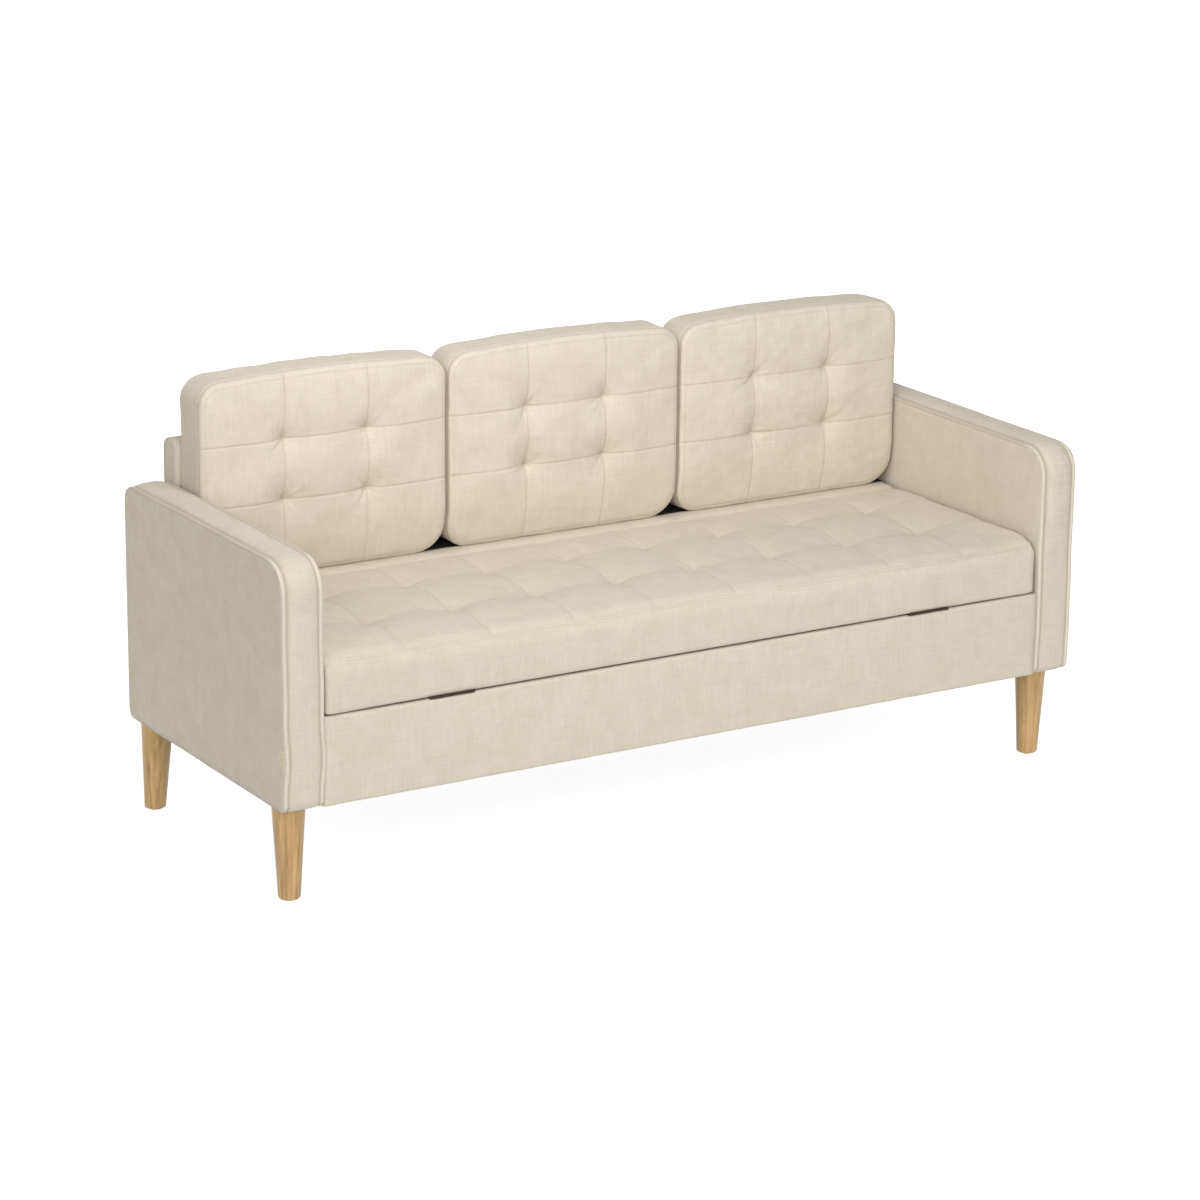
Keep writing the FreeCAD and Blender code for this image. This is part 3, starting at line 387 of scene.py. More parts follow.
BOARD_BROWNS = ((0.20, 0.115, 0.060), (0.13, 0.072, 0.036), (0.24, 0.15, 0.085))
hardboard = grained("hardboard_smooth", (420, 4.0, 0.65), BOARD_BROWNS, (30, 0.4), (0.2, 0.0003), 0.6)
seat_foam = foam_finish("seat_foam", (0.80, 0.76, 0.58), (0.62, 0.55, 0.36), 700)
fibre_filling = foam_finish("fibre_filling", (0.86, 0.86, 0.83), (0.66, 0.66, 0.63), 260)
print("made", hardboard.name, seat_foam.name, fibre_filling.name)

# %% [markdown]
# The fittings are zinc-plated steel for screws, plates and hinges, black lacquered steel for the strut
# tubes, and a polished rod. Each one gets its own wear: cloudy zinc with fine brushing, dusty lacquer with
# faint orange peel, scuffed plastic. All are two tones in soft patches under a fine relief.

# %% Metals, plastics and lining


def mottled(name, patches, tones, relief=None, gloss=None, **constants):
    """patches is a scale, its detail, two levels and the most of the second tone. gloss is the roughness
    of the first and the second tone, where they differ."""
    fitting = Finish(name)
    scale, detail, low, high, share = patches
    cloud = fitting.noise(scale, detail)
    fitting.colour(fitting.blend(fitting.level(cloud, low, high, 0.0, share), *tones))
    if gloss:
        fitting.link(fitting.level(cloud, low, high, *gloss), fitting.shader.inputs["Roughness"])
    if relief:
        scale, strength, distance = relief
        fitting.bump(fitting.noise(scale), strength, distance)
    return fitting.set(**constants)


def plastic_finish(name, base, worn, roughness):
    return mottled(name, ((90, 90, 20), 4.0, 0.55, 0.75, 0.7), (base, worn), (1200, 0.15, 0.0002),
                   roughness=roughness)


def nonwoven_finish():
    lining = Finish("black_nonwoven")
    dots = lining.tree.nodes.new("ShaderNodeTexVoronoi")
    dots.inputs["Scale"].default_value = 1.0
    dots.inputs["Randomness"].default_value = 0.25
    lining.link(lining.stretched(600), dots.inputs["Vector"])
    fibre = lining.noise((300, 1400, 900), 3.0)
    spots = lining.level(dots.outputs["Distance"], 0.15, 0.4)
    body = lining.blend(lining.level(fibre, 0.35, 0.7), (0.010, 0.010, 0.011), (0.030, 0.029, 0.029))
    lining.colour(lining.blend(lining.math("MULTIPLY", spots, 0.5), body, (0.006, 0.006, 0.006)))
    lining.bump(lining.math("ADD", spots, fibre), 0.3, 0.0003)
    return lining.set(roughness=0.85)


zinc_plate = mottled("zinc_plate", (140, 3.0, 0.3, 0.7, 1.0), ((0.62, 0.62, 0.60), (0.47, 0.46, 0.42)),
                     ((60, 1800, 1800), 0.08, 0.0002), (0.28, 0.46), metallic=1.0)
black_lacquer = mottled("black_lacquer", (60, 4.0, 0.5, 0.75, 0.5),
                        ((0.014, 0.014, 0.016), (0.045, 0.042, 0.04)), (700, 0.1, 0.0002), roughness=0.35)
polished_rod = mottled("polished_rod", ((900, 40, 900), 2.0, 0.4, 0.7, 1.0),
                       ((0.82, 0.82, 0.83), (0.70, 0.70, 0.71)), gloss=(0.08, 0.18), metallic=1.0)
nylon_glide = plastic_finish("nylon_glide", (0.030, 0.024, 0.019), (0.075, 0.065, 0.055), 0.5)
rest_pad = plastic_finish("felt_rest_pad", (0.040, 0.026, 0.013), (0.085, 0.060, 0.035), 0.9)
black_nonwoven = nonwoven_finish()
print("made", [m.name for m in bpy.data.materials])

# %% [markdown]
# Now the CAD nodes get their finish. Their shape is right as it is, so only the material slot is filled.
# The soft nodes are replaced further down by sewn pieces, and their fillings stay inside them.

# %% Finish the CAD nodes
NODE_FINISH = {
    rubberwood: ["front_left_leg", "front_right_leg", "rear_left_leg", "rear_right_leg"],
    pine_deep: ["left_arm_frame", "right_arm_frame"],
    pine_across: ["back_frame", "base_rails", "floor_bearers", "hinge_rail", "shelf_bearers", "lid_frame"],
    plywood: ["storage_floor", "storage_end_boards", "storage_rear_board", "cushion_shelf", "lid_board",
              "front_panel_board"],
    hardboard: ["left_arm_boards", "right_arm_boards", "back_panel"],
    zinc_plate: ["arm_bolts", "leg_plates", "leg_plate_screws", "hanger_bolts", "base_hardware_screws",
                 "lid_hardware_screws", "hinge_base_leaves", "hinge_lid_leaves", "hinge_pins"],
    black_lacquer: ["left_strut_cylinder", "right_strut_cylinder", "strut_base_brackets",
                    "strut_lid_brackets"],
    polished_rod: ["left_strut_rod", "right_strut_rod"],
    nylon_glide: ["leg_glides"],
    rest_pad: ["lid_bumpers"],
    seat_foam: ["seat_foam", "front_padding", "back_padding", "left_arm_padding", "right_arm_padding"],
    fibre_filling: ["left_cushion_core", "middle_cushion_core", "right_cushion_core"],
}

for finish, names in NODE_FINISH.items():
    for name in names:
        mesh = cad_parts[name].data
        mesh.materials.clear()
        mesh.materials.append(finish)
finished = {name for names in NODE_FINISH.values() for name in names}
print("still to be dressed:", sorted(set(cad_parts) - finished))

# %% [markdown]
# The sewn pieces share a few mesh helpers. A box is the start of most of them. Slicing it with planes gives
# even quads that can be moved like cloth, and slices set close together make room for a narrow seam. The
# moves themselves are done on all points at once as arrays.

# %% Mesh helpers
AXES = {"x": 0, "y": 1, "z": 2}
SAME_PLACE = 1e-4
PULL_REACH = 0.04


def box_mesh(low, high):
    """A bmesh box between two corners."""
    bm = bmesh.new()
    bmesh.ops.create_cube(bm, size=1.0)
    low, high = Vector(low), Vector(high)
    bmesh.ops.scale(bm, vec=high - low, verts=bm.verts)
    bmesh.ops.translate(bm, vec=(low + high) / 2, verts=bm.verts)
    return bm


def round_edges(bm, chosen, radius, segments):
    """Bevels the edges for which chosen(edge) is true."""
    edges = [e for e in bm.edges if chosen(e)]
    bmesh.ops.bevel(bm, geom=edges, offset=radius, offset_type="OFFSET", segments=segments, profile=0.5,
                    affect="EDGES", clamp_overlap=True, material=-1)


def edge_along(edge, axis):
    """True for an edge that runs along an axis."""
    run = edge.verts[1].co - edge.verts[0].co
    return abs(run[AXES[axis]]) > 0.99 * run.length


def middle(edge):
    return (edge.verts[0].co + edge.verts[1].co) / 2


def lies_at(edge, axis, place):
    """True for an edge whose middle lies at a place on an axis."""
    return abs(middle(edge)[AXES[axis]] - place) < SAME_PLACE


def slice_at(bm, axis, places, faces=None):
    """Cuts the mesh with planes across an axis. Only the given faces are cut, if there are any."""
    normal = Vector((0, 0, 0))
    normal[AXES[axis]] = 1.0
    for place in places:
        if faces is None:
            geom = [*bm.verts, *bm.edges, *bm.faces]
        else:
            kept = [f for f in bm.faces if faces(f)]
            geom = [*{v for f in kept for v in f.verts}, *{e for f in kept for e in f.edges}, *kept]
        bmesh.ops.bisect_plane(bm, geom=geom, dist=1e-6, plane_co=normal * place, plane_no=normal)


def cut_seam(bm, axis, place, half, faces):
    """Makes room for a narrow seam: a cut along its middle and one on each side."""
    slice_at(bm, axis, [place - half, place, place + half], faces)


def open_underside(bm, low, high, steepness=0.99):
    """Deletes what faces down between two corners, where a real cover ends and is stapled."""
    under = [f for f in bm.faces if f.normal.z < -steepness
             and all(a < c < b for a, c, b in zip(low, f.calc_center_median(), high))]
    bmesh.ops.delete(bm, geom=under, context="FACES")


def steps(low, high, pitch):
    """Even places from low to high, about pitch apart, without the ends."""
    count = max(2, round((high - low) / pitch))
    return [low + (high - low) * i / count for i in range(1, count)]


def piece_from(bm, name):
    """Turns a bmesh into a new object at the origin."""
    bmesh.ops.recalc_face_normals(bm, faces=bm.faces)
    mesh = bpy.data.meshes.new(name)
    bm.to_mesh(mesh)
    bm.free()
    piece = bpy.data.objects.new(name, mesh)
    scene.collection.objects.link(piece)
    return piece


def points(piece):
    found = np.empty(len(piece.data.vertices) * 3, np.float32)
    piece.data.vertices.foreach_get("co", found)
    return found.reshape(-1, 3).astype(float)


def normals(piece):
    found = np.empty(len(piece.data.vertices) * 3, np.float32)
    piece.data.vertices.foreach_get("normal", found)
    return found.reshape(-1, 3).astype(float)


def move_to(piece, places):
    piece.data.vertices.foreach_set("co", places.astype(np.float32).ravel())
    piece.data.update()


def freeze(piece):
    """Applies the piece's modifiers."""
    graph = bpy.context.evaluated_depsgraph_get()
    mesh = bpy.data.meshes.new_from_object(piece.evaluated_get(graph))
    piece.modifiers.clear()
    old, piece.data = piece.data, mesh
    bpy.data.meshes.remove(old)
    mesh.name = piece.name


def thicken(piece, thickness, offset):
    """Gives a sheet of cloth its thickness."""
    wall = piece.modifiers.new("cloth_thickness", "SOLIDIFY")
    wall.thickness = thickness
    wall.offset = offset


def keep_clear(piece, gap, *nodes):
    """Pushes cloth that has sunk into its filling back out, so that it lies gap above it."""
    co = points(piece)
    pushed = 0
    for node in nodes:
        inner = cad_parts[node]
        bm = bmesh.new()
        bm.from_mesh(inner.data)
        bm.transform(inner.matrix_world)
        tree = BVHTree.FromBMesh(bm)
        bm.free()
        for index, place in enumerate(co):
            near, facing, _, _ = tree.find_nearest(place, PULL_REACH)
            if near is None:
                continue
            offset = Vector(place) - near
            if offset.dot(facing) < -0.5 * offset.length or offset.length < gap:
                co[index] = near + facing * gap
                pushed += 1
    move_to(piece, co)
    print(piece.name, "pushed out at", pushed, "points")


def seam_shade(piece, shade):
    """Stores how much the linen darkens each point: painted shade where it lies deep in a seam, groove or
    dimple, and nap marks.
    """
    found = piece.data.attributes.get("seam") or piece.data.attributes.new("seam", "FLOAT", "POINT")
    found.data.foreach_set("value", np.clip(shade, 0, 1).astype(np.float32))


def lay_threads(piece, shift=(0.0, 0.0)):
    """A UV map in metres: each face takes the two axes it faces least."""
    mesh = piece.data
    corners = np.empty(len(mesh.loops), np.int32)
    mesh.loops.foreach_get("vertex_index", corners)
    facing = np.empty(len(mesh.polygons) * 3, np.float32)
    mesh.polygons.foreach_get("normal", facing)
    totals = np.empty(len(mesh.polygons), np.int32)
    mesh.polygons.foreach_get("loop_total", totals)
    main = np.repeat(np.abs(facing.reshape(-1, 3)).argmax(1), totals)
    co = points(piece)[corners]
    across = np.where(main == 0, co[:, 1], co[:, 0])
    up = np.where(main == 2, co[:, 1], co[:, 2])
    layer = mesh.uv_layers.get("threads") or mesh.uv_layers.new(name="threads")
    flat = np.stack([across + shift[0], up + shift[1]], 1)
    layer.data.foreach_set("uv", flat.astype(np.float32).ravel())


def ripples(co, wavelength, seed, count=7):
    """A smooth, repeatable unevenness between about -1 and 1."""
    rng = np.random.default_rng(seed)
    total = np.zeros(len(co))
    for _ in range(count):
        direction = rng.normal(size=3)
        direction /= np.linalg.norm(direction)
        wave = 2 * math.pi / (wavelength * rng.uniform(0.7, 1.5))
        total += np.sin(co @ direction * wave + rng.uniform(0, 2 * math.pi))
    return total / math.sqrt(count) / 1.4


def fade(value, low, high):
    """0 below low, 1 above high and smooth in between."""
    t = np.clip((value - low) / (high - low), 0, 1)
    return t * t * (3 - 2 * t)


def bell(distance, width):
    """1 on a line, fading away on both sides of it over about width."""
    return np.exp(-((distance / width) ** 2))


def at_hem(co, foot):
    """1 at the piece's foot, fading away over the 30 mm above it."""
    return 1 - fade(co[:, 2], foot, foot + 0.03)


def finish_cloth(piece, material):
    """Gives a piece its cloth and smooth shading."""
    piece.data.materials.clear()
    piece.data.materials.append(material)
    piece.data.polygons.foreach_set("use_smooth", [True] * len(piece.data.polygons))
    piece.data.update()
    print(piece.name, len(piece.data.polygons), "faces")


def dress(piece, body, material, slot, *stands_for):
    """Finishes a sewn piece, puts it on the body that carries it and hides the CAD nodes it stands for."""
    finish_cloth(piece, material)
    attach(piece, body)
    if stands_for:
        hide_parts(*stands_for)


def dress_in_linen(piece, body, node, shade, thread_shift):
    """Dresses a cover in the cream linen. thread_shift keeps two covers from having the same slubs."""
    seam_shade(piece, shade)
    lay_threads(piece, thread_shift)
    dress(piece, body, cream_linen, "cream_linen", node)


# %% [markdown]
# ## Arms
# Each arm is a slim board-and-foam box. One strip of cloth runs up the front, along the top and down the
# back, and a welt cord joins it to the flat side panels. The cover is cut from a rounded box, sliced into
# a cloth grid, and opened at the bottom, where the real cover is stapled under the frame. The panels
# swell by a millimetre or two, the strip is crowned, and the seam lines beside the cords are drawn in
# and given painted shade.

# %% Arm covers
ARM_FRONT_ROUND = 0.054
ARM_REAR_ROUND = 0.034
ARM_FOOT_ROUND = 0.017
CORD_RADIUS = 0.004
CORD_WIDTH = 2 * CORD_RADIUS
CLOTH_PITCH = 0.012
COVER_THICKNESS = 0.0018
HEM = 0.010
HEM_SAG = 0.003
SEAM_GAP = 0.0015
SEAM_HALF = 0.0012
SEAM_MARGIN = 0.005
SEAM_DEPTH = 0.0012
STRIP_RISE = 0.0009
ARM_CROWN = 0.0048
PANEL_SWELL = 0.0022
PANEL_RIPPLE = 0.0008
EDGE_ROLL = 0.0012
WELT_WANDER = 0.0011
BEND_HEIGHT = 0.268
WELT_BEND = {"right": 0.0012, "left": 0.0042}
ARM_SEED = {"right": 3, "left": 8}

arm_low, arm_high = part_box("right_arm_cover")
cord_low, cord_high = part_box("right_arm_piping")


def welt_wave(co, side):
    """How far the welt and the cloth beside it wander sideways along the arm's edge."""
    seed = ARM_SEED[side]
    run = co[:, 2] * (co[:, 1] < 0) - co[:, 1] * 0.7
    wave = np.sin(run * 21 + seed) * 0.55 + np.sin(run * 47 + 2.1 * seed) * 0.3
    beside_panel = bell(co[:, 2] - BEND_HEIGHT, 0.038) * (co[:, 1] < -0.24)
    return wave * WELT_WANDER + beside_panel * WELT_BEND[side]


def arm_shell(side, inner_seam, outer_seam):
    """The cover as a plain rounded shell with its cloth grid."""
    bm = box_mesh(arm_low, arm_high)
    front, rear, foot, top = arm_low.y, arm_high.y, arm_low.z, arm_high.z
    for y, z, radius, segments in ((front, top, ARM_FRONT_ROUND, 9), (rear, top, ARM_REAR_ROUND, 7)):
        round_edges(bm, lambda e: edge_along(e, "x") and lies_at(e, "y", y) and lies_at(e, "z", z),
                    radius, segments)
    round_edges(bm, lambda e: edge_along(e, "x") and lies_at(e, "z", foot), ARM_FOOT_ROUND, 5)
    start, end = inner_seam + SEAM_MARGIN, outer_seam - SEAM_MARGIN
    across = [inner_seam - SEAM_HALF, inner_seam, inner_seam + SEAM_HALF,
              start, *steps(start, end, CLOTH_PITCH), end,
              outer_seam - SEAM_HALF, outer_seam, outer_seam + SEAM_HALF]
    slice_at(bm, "x", across)
    slice_at(bm, "y", [front + HEM, *steps(front + HEM, rear - HEM, CLOTH_PITCH), rear - HEM])
    slice_at(bm, "z", steps(foot, top, CLOTH_PITCH))
    open_underside(bm, (across[0], front + HEM, 0), (across[-1], rear - HEM, foot + 0.001))
    if side == "left":
        bmesh.ops.scale(bm, vec=(-1, 1, 1), verts=bm.verts)
    return piece_from(bm, side + "_arm_cover_sewn")


def arm_cover(side):
    sign = 1 if side == "right" else -1
    seed = ARM_SEED[side]
    inner_seam = cord_low.x + CORD_WIDTH + SEAM_GAP
    outer_seam = cord_high.x - CORD_WIDTH - SEAM_GAP
    piece = arm_shell(side, inner_seam, outer_seam)
    co = points(piece)
    depth = np.abs(co[:, 0])
    outside = depth > arm_high.x - SAME_PLACE
    inside = depth < arm_low.x + SAME_PLACE
    on_strip = ~(outside | inside)
    from_edge = np.minimum.reduce([co[:, 1] - arm_low.y, arm_high.y - co[:, 1],
                                   arm_high.z - co[:, 2], co[:, 2] - arm_low.z])
    swell = fade(from_edge, 0.0, 0.07)
    bulge = swell * (PANEL_SWELL + PANEL_RIPPLE * ripples(co, 0.12, seed))
    edge_roll = EDGE_ROLL * bell(from_edge - 0.016, 0.010)
    outward = np.where(outside, 1.0, np.where(inside, -0.35, 0.0)) * sign
    co[:, 0] += outward * (bulge + edge_roll)
    co[:, 0] += welt_wave(co, side) * fade(0.05 - from_edge, 0.0, 0.03)
    near_seam = np.minimum(np.abs(depth - inner_seam), np.abs(depth - outer_seam))
    groove = bell(near_seam, 0.0014) * on_strip
    over = np.clip((depth - inner_seam) / (outer_seam - inner_seam), 0, 1)
    crown = (STRIP_RISE + ARM_CROWN * fade(co[:, 2], 0.35, 0.55)) * (1 - (2 * over - 1) ** 4)
    facing = normals(piece) * (from_edge < 0.06)[:, None]
    facing[:, 0] = 0
    rise = on_strip * (crown * (1 + 0.35 * ripples(co, 0.10, seed + 1))) - SEAM_DEPTH * groove
    co += facing * rise[:, None]
    co[:, 2] -= HEM_SAG * at_hem(co, arm_low.z)
    move_to(piece, co)
    thicken(piece, COVER_THICKNESS, -1.0)
    brushed = outside * fade(ripples(co, 0.045, seed + 9) + 0.6 * ripples(co, 0.018, seed + 10), -1.0, 1.2)
    # painted shade in the grooves beside the welts, and darker nap marks on the outer panel
    dress_in_linen(piece, "body", side + "_arm_cover", 0.75 * groove + 0.09 * brushed, (0.37 * seed, 0.11))


for side in ("left", "right"):
    arm_cover(side)

# %% [markdown]
# A welt is a cord wrapped in cloth and sewn into the seam. It is swept with bmesh: a ring of points is
# extruded along the straight runs and spun round the corners, from under the front of the arm, over the
# top and down to under the back. The same small wave that moves the cover's edge moves the cord.

# %% Welt cords
CORD_SIDES = 14
CORD_STEP = 0.012
CORD_TURN_STEP = 0.006
CORD_FOOT_RUN = 0.021


def only_edges(geometry):
    return [g for g in geometry if isinstance(g, bmesh.types.BMEdge)]


def sweep_run(bm, ring, direction, length):
    """Extrudes the open ring of edges along a straight run."""
    count = max(1, round(length / CORD_STEP))
    for _ in range(count):
        ring = only_edges(bmesh.ops.extrude_edge_only(bm, edges=ring)["geom"])
        verts = {v for e in ring for v in e.verts}
        bmesh.ops.translate(bm, vec=Vector(direction) * (length / count), verts=list(verts))
    return ring


def sweep_turn(bm, ring, centre, radius):
    """Spins the open ring of edges round a corner, a quarter turn about X."""
    quarter = math.pi / 2
    count = max(4, round(quarter * radius / CORD_TURN_STEP))
    made = bmesh.ops.spin(bm, geom=ring, cent=centre, axis=(1, 0, 0), angle=-quarter, steps=count,
                          dvec=(0, 0, 0), use_merge=False, use_duplicate=False)
    return only_edges(made["geom_last"])


def add_cord(bm, x):
    """One welt cord at the distance x from the middle of the sofa."""
    front, rear = cord_low.y + CORD_RADIUS, cord_high.y - CORD_RADIUS
    low, top = cord_low.z + CORD_RADIUS, cord_high.z - CORD_RADIUS
    foot = ARM_FOOT_ROUND + 0.001 - CORD_RADIUS
    front_turn = ARM_FRONT_ROUND + 0.001 - CORD_RADIUS
    rear_turn = ARM_REAR_ROUND + 0.001 - CORD_RADIUS
    disc = bmesh.ops.create_circle(bm, cap_ends=True, radius=CORD_RADIUS, segments=CORD_SIDES)["verts"]
    bmesh.ops.rotate(bm, verts=disc, cent=(0, 0, 0), matrix=Matrix.Rotation(math.pi / 2, 3, "X"))
    bmesh.ops.translate(bm, verts=disc, vec=(x, front + CORD_FOOT_RUN, low))
    ring = [e for e in bm.edges if all(v in disc for v in e.verts)]
    foot_run = CORD_FOOT_RUN - foot
    for direction, length, y, z, radius in (
            ((0, -1, 0), foot_run, front + foot, low + foot, foot),
            ((0, 0, 1), top - front_turn - low - foot, front + front_turn, top - front_turn, front_turn),
            ((0, 1, 0), rear - rear_turn - front - front_turn, rear - rear_turn, top - rear_turn, rear_turn),
            ((0, 0, -1), top - rear_turn - low - foot, rear - foot, low + foot, foot)):
        ring = sweep_run(bm, ring, direction, length)
        ring = sweep_turn(bm, ring, (x, y, z), radius)
    ring = sweep_run(bm, ring, (0, -1, 0), foot_run)
    bmesh.ops.contextual_create(bm, geom=ring)


def arm_cords(side):
    bm = bmesh.new()
    for x in (cord_low.x + CORD_RADIUS, cord_high.x - CORD_RADIUS):
        add_cord(bm, x)
    bmesh.ops.remove_doubles(bm, verts=bm.verts, dist=1e-5)
    if side == "left":
        bmesh.ops.scale(bm, vec=(-1, 1, 1), verts=bm.verts)
    piece = piece_from(bm, side + "_arm_welts")
    co = points(piece)
    co[:, 0] += welt_wave(co, side)
    co += normals(piece) * (0.0002 * ripples(co, 0.015, ARM_SEED[side] + 5))[:, None]
    co[:, 2] -= HEM_SAG * at_hem(co, cord_low.z)
    move_to(piece, co)
    # painted shade: the welt cords are darkened along the top of the arm, where light from above falls on
    # them
    on_top = fade(co[:, 2], cord_high.z - 0.03, cord_high.z - 0.01) * fade(co[:, 1], -0.27, -0.24)
    seam_shade(piece, 0.35 * on_top)
    lay_threads(piece)
    dress(piece, "body", welt_linen, "welt_cord", side + "_arm_piping")


for side in ("left", "right"):
    arm_cords(side)

# %% [markdown]
# ## Back and front panel
# Both are padded boards with cloth pulled over them. They start as boxes with rounded edges, get the
# same cloth grid as the arms, and swell a little. The back stays flat behind the cushions, where nothing
# shows, and the front panel turns over its top edge under the seat.

# %% Back cover
BACK_ROUND = 0.0235
BACK_SWELL = 0.0030
BACK_FOLD = 0.0006
BACK_TOP_WAVE = 0.0010

back_low, back_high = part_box("back_cover")


def back_cover():
    bm = box_mesh(back_low, back_high)
    round_edges(bm, lambda e: edge_along(e, "x") and lies_at(e, "z", back_high.z), BACK_ROUND, 8)
    slice_at(bm, "x", steps(back_low.x, back_high.x, CLOTH_PITCH * 1.5))
    slice_at(bm, "z", steps(back_low.z, back_high.z, CLOTH_PITCH))
    slice_at(bm, "y", [back_low.y + HEM, (back_low.y + back_high.y) / 2, back_high.y - HEM])
    open_underside(bm, (-1, back_low.y + HEM, 0), (1, back_high.y - HEM, back_low.z + 0.001))
    piece = piece_from(bm, "back_cover_sewn")
    co = points(piece)
    facing = normals(piece)
    from_end = np.minimum(co[:, 0] - back_low.x, back_high.x - co[:, 0])
    from_top = back_high.z - co[:, 2]
    rear = co[:, 1] > back_high.y - SAME_PLACE
    drawn = fade(from_end, 0.0, 0.09) * fade(co[:, 2] - back_low.z, 0.0, 0.08)
    swell = BACK_SWELL * drawn * fade(from_top, -0.01, 0.06)
    folds = BACK_FOLD * ripples(co * np.array([1.0, 1.0, 0.35]), 0.16, 21) * drawn
    co[:, 1] += rear * (swell + folds)
    top_wave = BACK_TOP_WAVE * ripples(co, 0.20, 22) * fade(0.03 - from_top, 0.0, 0.02) * drawn
    co[:, 2] += np.minimum(top_wave, 0.0) * facing[:, 2].clip(0, 1)
    move_to(piece, co)
    thicken(piece, COVER_THICKNESS, -1.0)
    dress_in_linen(piece, "body", "back_cover", np.zeros(len(co)), (1.3, 0.4))


back_cover()

# %% Front panel cover
PANEL_ROUND = 0.006
FRONT_SWELL = 0.0022
FRONT_FOLD = 0.0006
FRONT_HEM_WAVE = 0.0008

panel_low, panel_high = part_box("front_panel_cover")


def front_panel():
    bm = box_mesh(panel_low, panel_high)
    round_edges(bm, lambda e: edge_along(e, "x") and lies_at(e, "y", panel_low.y), PANEL_ROUND, 4)
    slice_at(bm, "x", steps(panel_low.x, panel_high.x, CLOTH_PITCH))
    slice_at(bm, "z", steps(panel_low.z, panel_high.z, CLOTH_PITCH))
    piece = piece_from(bm, "front_panel_sewn")
    co = points(piece)
    front = co[:, 1] < panel_low.y + SAME_PLACE
    from_end = np.minimum(co[:, 0] - panel_low.x, panel_high.x - co[:, 0])
    from_rim = np.minimum(co[:, 2] - panel_low.z, panel_high.z - co[:, 2])
    swell = FRONT_SWELL * fade(from_rim, 0.0, 0.05) * fade(from_end, 0.0, 0.03)
    folds = FRONT_FOLD * ripples(co * np.array([1.0, 1.0, 0.5]), 0.14, 31) * fade(from_rim, 0.0, 0.04)
    co[:, 1] -= front * (swell + folds)
    co[:, 2] -= at_hem(co, panel_low.z) * (HEM_SAG - np.abs(FRONT_HEM_WAVE * ripples(co, 0.11, 32)))
    move_to(piece, co)
    dress_in_linen(piece, "body", "front_panel_cover", np.zeros(len(co)), (0.2, 2.4))


front_panel()

# %% [markdown]
# ## Stuffed pieces
# The cushions and the seat are stuffed, so they are simulated. The start is a slightly slack shape,
# remeshed into an even cloth grid. Points at the tufts are held, points along the outline seam are held
# softly, and air pressure swells the rest for twenty frames. The swelling is capped, then the result is
# applied and subdivided once.

# %% Cloth helpers
SWELL_FRAMES = 20
CLOTH_SETTINGS = {
    "quality": 6, "mass": 0.3, "tension_stiffness": 12, "compression_stiffness": 12, "shear_stiffness": 4,
    "bending_stiffness": 0.4, "use_pressure": True, "pin_stiffness": 1.0,
}


def even_grid(piece, size):
    """Remeshes the piece into even quads."""
    remesh = piece.modifiers.new("even_grid", "REMESH")
    remesh.mode = "VOXEL"
    remesh.voxel_size = size
    freeze(piece)


def weigh(piece, name, values):
    """Stores values between 0 and 1 as a vertex group."""
    group = piece.vertex_groups.new(name=name)
    rounded = np.round(values, 2)
    for strength in sorted(set(rounded)):
        if strength > 0:
            group.add([int(i) for i in np.flatnonzero(rounded == strength)], float(strength), "REPLACE")
    return group


def soften(piece, share, rounds):
    """Evens out the small creases where share is above 0."""
    group = weigh(piece, "softened", share)
    smooth = piece.modifiers.new("softer_cloth", "SMOOTH")
    smooth.vertex_group = group.name
    smooth.factor = 0.5
    smooth.iterations = rounds
    freeze(piece)


def inflate(piece, hold, pressure, cap, kept=1.0):
    """Swells the piece with air. hold is 1 where cloth is sewn down, and kept is how much swelling stays."""
    start = points(piece)
    facing = normals(piece)
    cloth = piece.modifiers.new("cloth", "CLOTH")
    for name, value in CLOTH_SETTINGS.items():
        setattr(cloth.settings, name, value)
    cloth.settings.uniform_pressure_force = pressure
    cloth.settings.vertex_group_mass = weigh(piece, "sewn_down", hold).name
    cloth.settings.effector_weights.gravity = 0.0
    cloth.collision_settings.use_collision = False
    cloth.point_cache.frame_start = 1
    cloth.point_cache.frame_end = SWELL_FRAMES
    for moment in range(1, SWELL_FRAMES + 1):
        scene.frame_set(moment)
    freeze(piece)
    scene.frame_set(1)
    moved = points(piece) - start
    sunk = np.minimum(np.einsum("ij,ij->i", moved, facing), 0.0)
    moved -= facing * (sunk * 0.85)[:, None]
    length = np.linalg.norm(moved, axis=1)
    limit = cap * np.tanh(length / cap)
    moved *= (kept * limit / np.maximum(length, 1e-9))[:, None]
    move_to(piece, start + moved)
    print(piece.name, "swelled by up to", round(float(length.max()) * 1000, 1), "mm, kept under", cap * 1000)


def subdivide_once(piece):
    smooth = piece.modifiers.new("finer_cloth", "SUBSURF")
    smooth.levels = 1
    smooth.render_levels = 1
    freeze(piece)


def pulled(plane_points, tufts, reach):
    """How strongly the tufts pull at each point: 1 at a tuft, fading over reach."""
    away = np.linalg.norm(plane_points[:, None, :] - np.array(tufts)[None, :, :], axis=2)
    return np.exp(-away / reach).max(1)


def cut_into(piece, cuts):
    """Runs cuts on the piece's mesh."""
    bm = bmesh.new()
    bm.from_mesh(piece.data)
    cuts(bm)
    bm.to_mesh(piece.data)
    bm.free()


